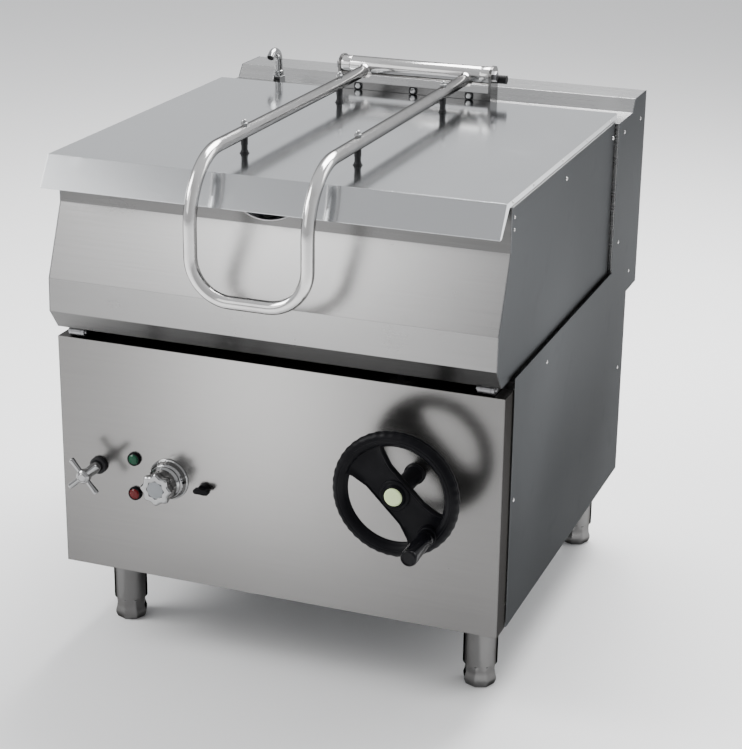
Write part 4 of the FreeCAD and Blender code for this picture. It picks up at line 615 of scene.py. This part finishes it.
def handwheel():
    """Rim with a parting line and an inner lip, a waisted web, a low hub ring and the grip's seat."""
    low, high = corners("handwheel")
    outer = (high[2] - low[2]) / 2
    thick = 12 * MM
    skin = thick - 0.4 * MM
    recess = 18  # millimetres from the rear face to the wheel's plane
    ring = outer - thick
    around = np.linspace(0, 2 * np.pi, 264, endpoint=False)[None, :]
    # The section starts outside and passes the front at a quarter turn and the inside at a half.
    section = np.linspace(0, 2 * np.pi, 72)[:, None]
    # Grooves in front and near the outside, a lip inside, and ribs under the fingers
    groove = -0.9 * MM * np.exp(-((section - np.pi * 0.5) / 0.07) ** 2)
    groove = groove - 0.7 * MM * np.exp(-((section - np.pi * 0.08) / 0.05) ** 2)
    lip = 2.2 * MM * np.exp(-((section - np.pi) / 0.32) ** 4)
    ribs = 0.45 * MM * np.sin(44 * around) * np.exp(-((1 - np.cos(section)) / 0.5) ** 2)
    radial = ring + (skin + groove + lip + ribs) * np.cos(section)
    depth = (skin + groove + ribs) * np.sin(section)
    rim = np.stack([radial * np.cos(around), radial * np.sin(around), depth], axis=-1)
    middle = rear_centre("handwheel") + FRONT * recess * MM
    place = lambda grid: middle + grid[..., :1] * RIGHT + grid[..., 1:2] * UP + grid[..., 2:] * FRONT
    hub = turned([(0, -recess), (20, -recess), (24, -5), (25.5, 2), (25.5, 5.6), (23, 7), (20, 7),
                  (17.5, 12.4), (15.4, 13), (15, 11), (0, 11)], 1.2)
    boss = turned([(0, 0), (16, 0), (16, 9), (14.4, 12.8), (0, 12.8)], 1.2)
    grip = centre("crank_grip")
    seat = np.array([grip[0] - middle[0], grip[2] - middle[2], 0.0])
    piece("wheel_moulding", [place(rim), place(lathe(hub, 72)), place(lathe(boss, 48) + seat)],
          "handwheel_drive", "black_plastic", stands_for=["handwheel"])
    webs = [place(grid) for grid in wheel_web(ring - thick * 0.45)]
    piece("wheel_web", webs, "handwheel_drive", "black_plastic", wrap=False, sharp=50)


def crank_grip():
    """Revolving grip with shallow finger waist, an end bead and a pressed-in cap."""
    low, high = corners("crank_grip")
    radius = (high[0] - low[0]) / 2
    length = high[1] - low[1]
    profile = soften([
        (0, 0), (radius * 0.8, 0), (radius * 0.98, 3 * MM), (radius * 0.98, 9 * MM), (radius * 0.9, 12 * MM),
        (radius * 0.94, length * 0.45), (radius, length - 14 * MM), (radius, length - 5 * MM),
        (radius * 0.93, length - 1.5 * MM), (radius * 0.8, length - 0.4 * MM),
        (radius * 0.74, length - 0.4 * MM), (radius * 0.72, length - 2.2 * MM), (0, length - 1.6 * MM)],
        1.6 * MM)
    base = rear_centre("crank_grip")
    piece("grip_moulding", [aimed(lathe(profile, 64), base, FRONT)], "grip", "gloss_black",
          stands_for=["crank_grip"])


# Controls

def feet():
    """Cast cup feet with eight flat sides, and the stem that stands in each."""
    cup = [(0, 0), (25, 0), (26.5, 1.2), (29.6, 9), (29.6, 14), (27.2, 21), (26.2, 29), (26.8, 38),
           (25, 40.2)]
    stem = [(8, 40.4), (8, 100), (0, 100)]
    foot = lathe(np.array(cup + stem) * MM, 64, flats(8, 39 * MM, 0.93))
    for place in ("front_left", "front_right", "rear_left", "rear_right"):
        base = centre("foot_" + place)
        base[2] = 0
        piece("cup_" + place, [aimed(foot, base, UP)], place + "_foot", "leg_tube",
              stands_for=["foot_" + place], sharp=25)


def thermostat():
    """Plated knob with eight lobes and a recessed disc, on a stepped dial ring."""
    low, high = corners("thermostat_knob")
    radius = (high[2] - low[2]) / 2
    length = high[1] - low[1]
    skirt = 7 * MM
    fade = 10 * MM
    lobes = lambda a, h: (
        1 - 0.15 * (0.5 - 0.5 * np.cos(8 * a)) ** 0.75 * np.clip((h - skirt) / fade, 0, 1))
    profile = soften([
        (0, 0), (radius * 0.97, 0), (radius * 0.97, 2 * MM), (radius * 0.84, skirt),
        (radius * 0.86, length * 0.5), (radius * 0.95, length - 13 * MM), (radius * 0.98, length - 8 * MM),
        (radius * 0.98, length - 3 * MM), (radius * 0.88, length), (radius * 0.56, length - 0.3 * MM),
        (radius * 0.54, length - 2 * MM), (0, length - 2 * MM)], 1.4 * MM, 5)
    base = rear_centre("thermostat_knob")
    piece("knob_shell", [aimed(lathe(profile, 144, lobes), base, FRONT)], "thermostat", "chrome",
          stands_for=["thermostat_knob"])
    disc = soften([(0, 0), (radius * 0.5, 0), (radius * 0.5, 1.2 * MM), (radius * 0.46, 1.8 * MM),
                   (0, 1.8 * MM)], 0.5 * MM)
    seat = base + FRONT * (length - 2.1 * MM)
    piece("knob_disc", [aimed(lathe(disc, 64), seat, FRONT)], "thermostat", "grey_plastic")
    low, high = corners("thermostat_collar")
    radius = (high[2] - low[2]) / 2
    depth = high[1] - low[1]
    dial = soften([
        (0, 0), (radius, 0), (radius, 2.2 * MM), (radius - 2.5 * MM, 3.4 * MM),
        (radius - 4 * MM, depth * 0.75), (radius - 7 * MM, depth), (0, depth)], 0.9 * MM)
    flutes = lambda a, h: 1 - 0.012 * (0.5 - 0.5 * np.cos(36 * a)) * (h > 3 * MM) * (h < depth * 0.8)
    base = rear_centre("thermostat_collar")
    piece("dial_ring", [aimed(lathe(dial, 216, flutes), base, FRONT)], "cabinet", "chrome",
          stands_for=["thermostat_collar"])


def valve_cross():
    """Four flared round arms on a turned hub with a screwed cap, and a black washer at the panel."""
    hub = centre("valve_handle")
    hub[1] = corners("water_valve")[0][1]
    arm = turned([(0, 6), (4.4, 6), (4.1, 14), (4.7, 27), (5.2, 34), (4.7, 36.6), (0, 37)], 1.4)
    arms = []
    for degrees in (40, 130, 220, 310):
        angle = math.radians(degrees)
        way = RIGHT * math.cos(angle) + UP * math.sin(angle)
        arms.append(aimed(lathe(arm, 32), hub, way, FRONT))
    dome = turned([(0, -14), (9.6, -14), (9, -10), (12, -5), (12, 4.5), (9.4, 7.2), (8.2, 7.6),
                   (7.8, 6.8), (6.6, 8.4), (0, 9.4)], 0.9)
    piece("valve_arms", arms, "valve_cross", "chrome")
    piece("valve_hub", [aimed(lathe(dome, 48), hub, FRONT)], "valve_cross", "chrome",
          stands_for=["valve_handle"])
    base = hub.copy()
    base[1] = PANEL_FACE
    washer = turned([(10.2, 0.2), (15.6, 0.2), (15.2, 6.6), (12, 7.8), (10.2, 7.8), (10.2, 0.2)], 0.6)
    piece("valve_washer", [aimed(lathe(washer, 48), base, FRONT)], "cabinet", "rubber")


def spout():
    """Gooseneck with a ferrule above its nut and a black aerator in its mouth. The tube rises, follows
    the arc (hub + r cos t, hub + r sin t) towards the front up to 125 degrees and ends in a short
    straight tip. Its bore is closed a few rings inside the mouth."""
    low, high = corners("water_spout")
    tube = 7.4 * MM
    bend = 21 * MM
    cad_tube = 6.5 * MM
    x = (low[0] + high[0]) / 2
    rear = high[1] - cad_tube
    level = high[2] - cad_tube - bend
    nut_top = corners("spout_fitting")[1][2]
    rise = [(x, rear, z) for z in (low[2], nut_top, nut_top + 0.8 * MM, nut_top + 4 * MM, nut_top + 5 * MM)]
    turn = np.radians(np.linspace(0, 125, 25))
    y = rear - bend + bend * np.cos(turn)
    z = level + bend * np.sin(turn)
    arc = np.stack([np.full_like(turn, x), y, z], axis=1)
    way = np.array([0, -math.sin(turn[-1]), math.cos(turn[-1])])
    tip = arc[-1] + 9 * MM * way
    path = np.vstack([rise, arc, [tip]])
    inner, ferrule, bore = 6.4 * MM, 9.2 * MM, 6.1 * MM
    radius = np.full(len(path), tube)
    radius[:2] = inner
    radius[2:4] = ferrule
    count = 36
    depth = 9
    outside = sweep(path, radius, count, ends=False)
    inside = sweep(path, bore, count, ends=False)[-depth:][::-1]
    close = lambda point: np.broadcast_to(point, (1, count, 3))
    grid = np.vstack([close(path[0]), outside, inside, close(path[-depth])])
    piece("spout_tube", [grid], "spout", "chrome", stands_for=["water_spout"], sharp=45)
    disc = turned([(0, 0), (6, 0), (6, 3), (4.6, 3.4), (4, 2), (0, 2)], 0.4)
    recess = 4.5 * MM
    piece("spout_aerator", [aimed(lathe(disc, count), tip - recess * way, way)], "spout", "rubber")


def lid_gap_shade():
    """Slightly wavy dark strip that peeps out between each side fold of the lid and the pan's rim:
    painted shade in the gap there.
    """
    thick = 1.0 * MM
    start, end = PAN_LOW[1] + 46 * MM, PAN_HIGH[1] - 14 * MM
    t = np.linspace(0, 1, 90)
    wave = 0.45 * MM * np.sin(37 * t) * np.cos(11 * t)
    x = LID_HIGH[0] - 1.9 * MM + wave
    y = start + t * (end - start)
    z = PAN_HIGH[2] + 1.1 * MM + wave * 0.4
    strips = [sweep(np.stack([side * x, y, z], axis=1), thick, 12) for side in (-1, 1)]
    # The dark strips are painted shade in the gap between lid and pan.
    piece("lid_gap_shade_strips", strips, "lid", "rubber")


def strap_slot_shade():
    """Dark rounded plate behind each of the three bolts of the hinge strap, painted shade standing in
    for the opening of a slot: a superellipse plate with corners (w |cos|^0.4, h |sin|^0.4)."""
    face = centre("lid_hinge_tube")[1] - 18 * MM
    level = PAN_HIGH[2] + 19 * MM
    middle = np.array([centre("lid_hinge_bracket")[0], face, level])
    spacing = 110 * MM
    width, height = 8.5 * MM, 6.5 * MM
    angle = np.linspace(0, 2 * np.pi, 48, endpoint=False)
    across = width * np.sign(np.cos(angle)) * np.abs(np.cos(angle)) ** 0.4
    along = height * np.sign(np.sin(angle)) * np.abs(np.sin(angle)) ** 0.4
    # Share of the outline, and millimetres that the ring stands in front of the strap
    rings = ((0, 0.5), (0.92, 0.5), (1, 0.3), (1, -0.2), (0, -0.2))
    plate = np.array([np.stack([across * share, np.full_like(angle, -lift * MM), along * share], axis=1)
                      for share, lift in rings])
    bolt = turned([(0, 0), (5.6, 0), (5.6, 3), (4.8, 4), (0, 4)], 0.6)
    places = [middle + RIGHT * x for x in (-spacing, 0, spacing)]
    plates = [place + plate for place in places]
    heads = [aimed(lathe(bolt, 48, flats(6, share=0.93)), place, FRONT) for place in places]
    # The black plates are painted shade where the slots open.
    piece("strap_slot_shade", plates, "pan", "rubber")
    piece("strap_bolts", heads, "pan", "chrome", sharp=25)


def screw_heads(name, places, normal, body, radius=3.6 * MM, rise=1.8 * MM):
    """Domed heads with a shallow drive recess, at the given places on a face."""
    profile = soften([(radius, 0), (radius * 0.97, rise * 0.3), (radius * 0.6, rise), (radius * 0.34, rise),
                      (radius * 0.26, rise * 0.35), (0, rise * 0.3)], 0.5 * MM, 3)
    heads = [aimed(lathe(profile, 24), place, normal) for place in places]
    piece(name, heads, body, "bright_tube")


def side_screws():
    """Screws seen on the sides of the pan, the column and the cabinet, the same on both sides. Their
    places are in millimetres, behind the front panel's face and above the floor."""
    pan = [(327, 848), (637, 849)]
    fold = [(30, 858), (30, 838)]
    cabinet = [(819, 848), (697, 848), (694, 640), (793, 556), (230, 557), (746, 374), (61, 374)]
    lid_level = (LID_HIGH[2] - 5.4 * MM) / MM
    lid = [(y, lid_level) for y in (18, 130, 300, 452, 610)]
    spots = lambda x, pairs: [np.array([x, PANEL_FACE + y * MM, z * MM]) for y, z in pairs]
    for side, name in ((-1, "left"), (1, "right")):
        pan_x = side * PAN_HIGH[0]
        wall_x = side * corners("side_panel_right")[1][0]
        lid_x = side * (LID_HIGH[0] - 0.1 * MM)
        out = RIGHT * side
        screw_heads("pan_screws_" + name, spots(pan_x, pan), out, "pan")
        screw_heads("side_screws_" + name, spots(wall_x, cabinet), out, "cabinet", rise=0.9 * MM)
        screw_heads("lid_rivets_" + name, spots(lid_x, lid), out, "lid", 2.6 * MM, 1.2 * MM)
        screw_heads("pan_rivets_" + name, spots(pan_x, fold), out, "pan", 2.4 * MM, 1.2 * MM)


# Scene

def studio():
    """Pale floor, large soft lights and surroundings that grow darker towards the front, which gives
    the metal something to mirror."""
    floor_size = 16
    aim_height = 0.5
    bpy.ops.mesh.primitive_plane_add(size=floor_size)
    floor = bpy.context.object
    floor.name = "studio_floor"
    graph = Graph("floor_paint")
    tone = graph.noise(0.8, 2.0)
    paint = graph.finish(Base_Color=graph.mix(tone, grey(0.9), grey(0.93)), Roughness=0.7)
    floor.data.materials.append(paint)
    graph = Graph("studio_world", world=True)
    direction = graph.add("ShaderNodeTexCoord", output="Generated")
    front = graph.add("ShaderNodeSeparateXYZ", None, {0: direction}, "Y") * -1.0
    shade = graph.mix(front.above(0.1, 0.9), (0.95, 0.96, 0.98, 1), (0.66, 0.66, 0.67, 1))
    bpy.context.scene.world = graph.finish(Color=shade, Strength=0.9)
    # Name, place, width and power in watts
    lights = (
        ("key", (-3.2, -1.7, 3.0), 2.0, 150),
        ("top", (0.3, 1.7, 3.4), 2.4, 300),
        ("front", (-2.1, -3.9, 2.6), 2.6, 30),
        ("rim", (2.6, 1.8, 2.2), 1.4, 25),
    )
    for name, place, width, power in lights:
        data = bpy.data.lights.new(name + "_light", "AREA")
        data.size = width
        data.energy = power
        item = bpy.data.objects.new(name + "_light", data)
        bpy.context.scene.collection.objects.link(item)
        item.location = place
        aim = Vector((0, 0, aim_height)) - Vector(place)
        item.rotation_euler = aim.to_track_quat("-Z", "Y").to_euler()


def camera():
    """Camera at the photograph's viewing angle, found by fitting the cabinet's corners. The focal
    length is in pixels of a picture whose longer side is given."""
    azimuth, elevation, roll = (math.radians(angle) for angle in (20.632, 20.233, 0.714))
    distance = 3.5076
    focal_pixels = 1973.4
    long_side = 749
    back = np.array([math.sin(azimuth) * math.cos(elevation), -math.cos(azimuth) * math.cos(elevation),
                     math.sin(elevation)])
    right = np.array([math.cos(azimuth), math.sin(azimuth), 0.0])
    up = np.cross(back, right)
    across = math.cos(roll) * right + math.sin(roll) * up
    upward = -math.sin(roll) * right + math.cos(roll) * up
    aim = np.array([0.059, PANEL_FACE + 0.3, 0.462])
    data = bpy.data.cameras.new("camera")
    data.sensor_width = 36
    data.lens = focal_pixels * data.sensor_width / long_side
    item = bpy.data.objects.new("camera", data)
    bpy.context.scene.collection.objects.link(item)
    turn = Matrix([across, upward, back]).transposed().to_4x4()
    item.matrix_world = Matrix.Translation(Vector(aim + back * distance)) @ turn
    bpy.context.scene.camera = item


lid_handle()
hinge_tube()
handle_posts()
handwheel()
crank_grip()
feet()
thermostat()
valve_cross()
spout()
lid_gap_shade()
strap_slot_shade()
side_screws()
studio()
camera()
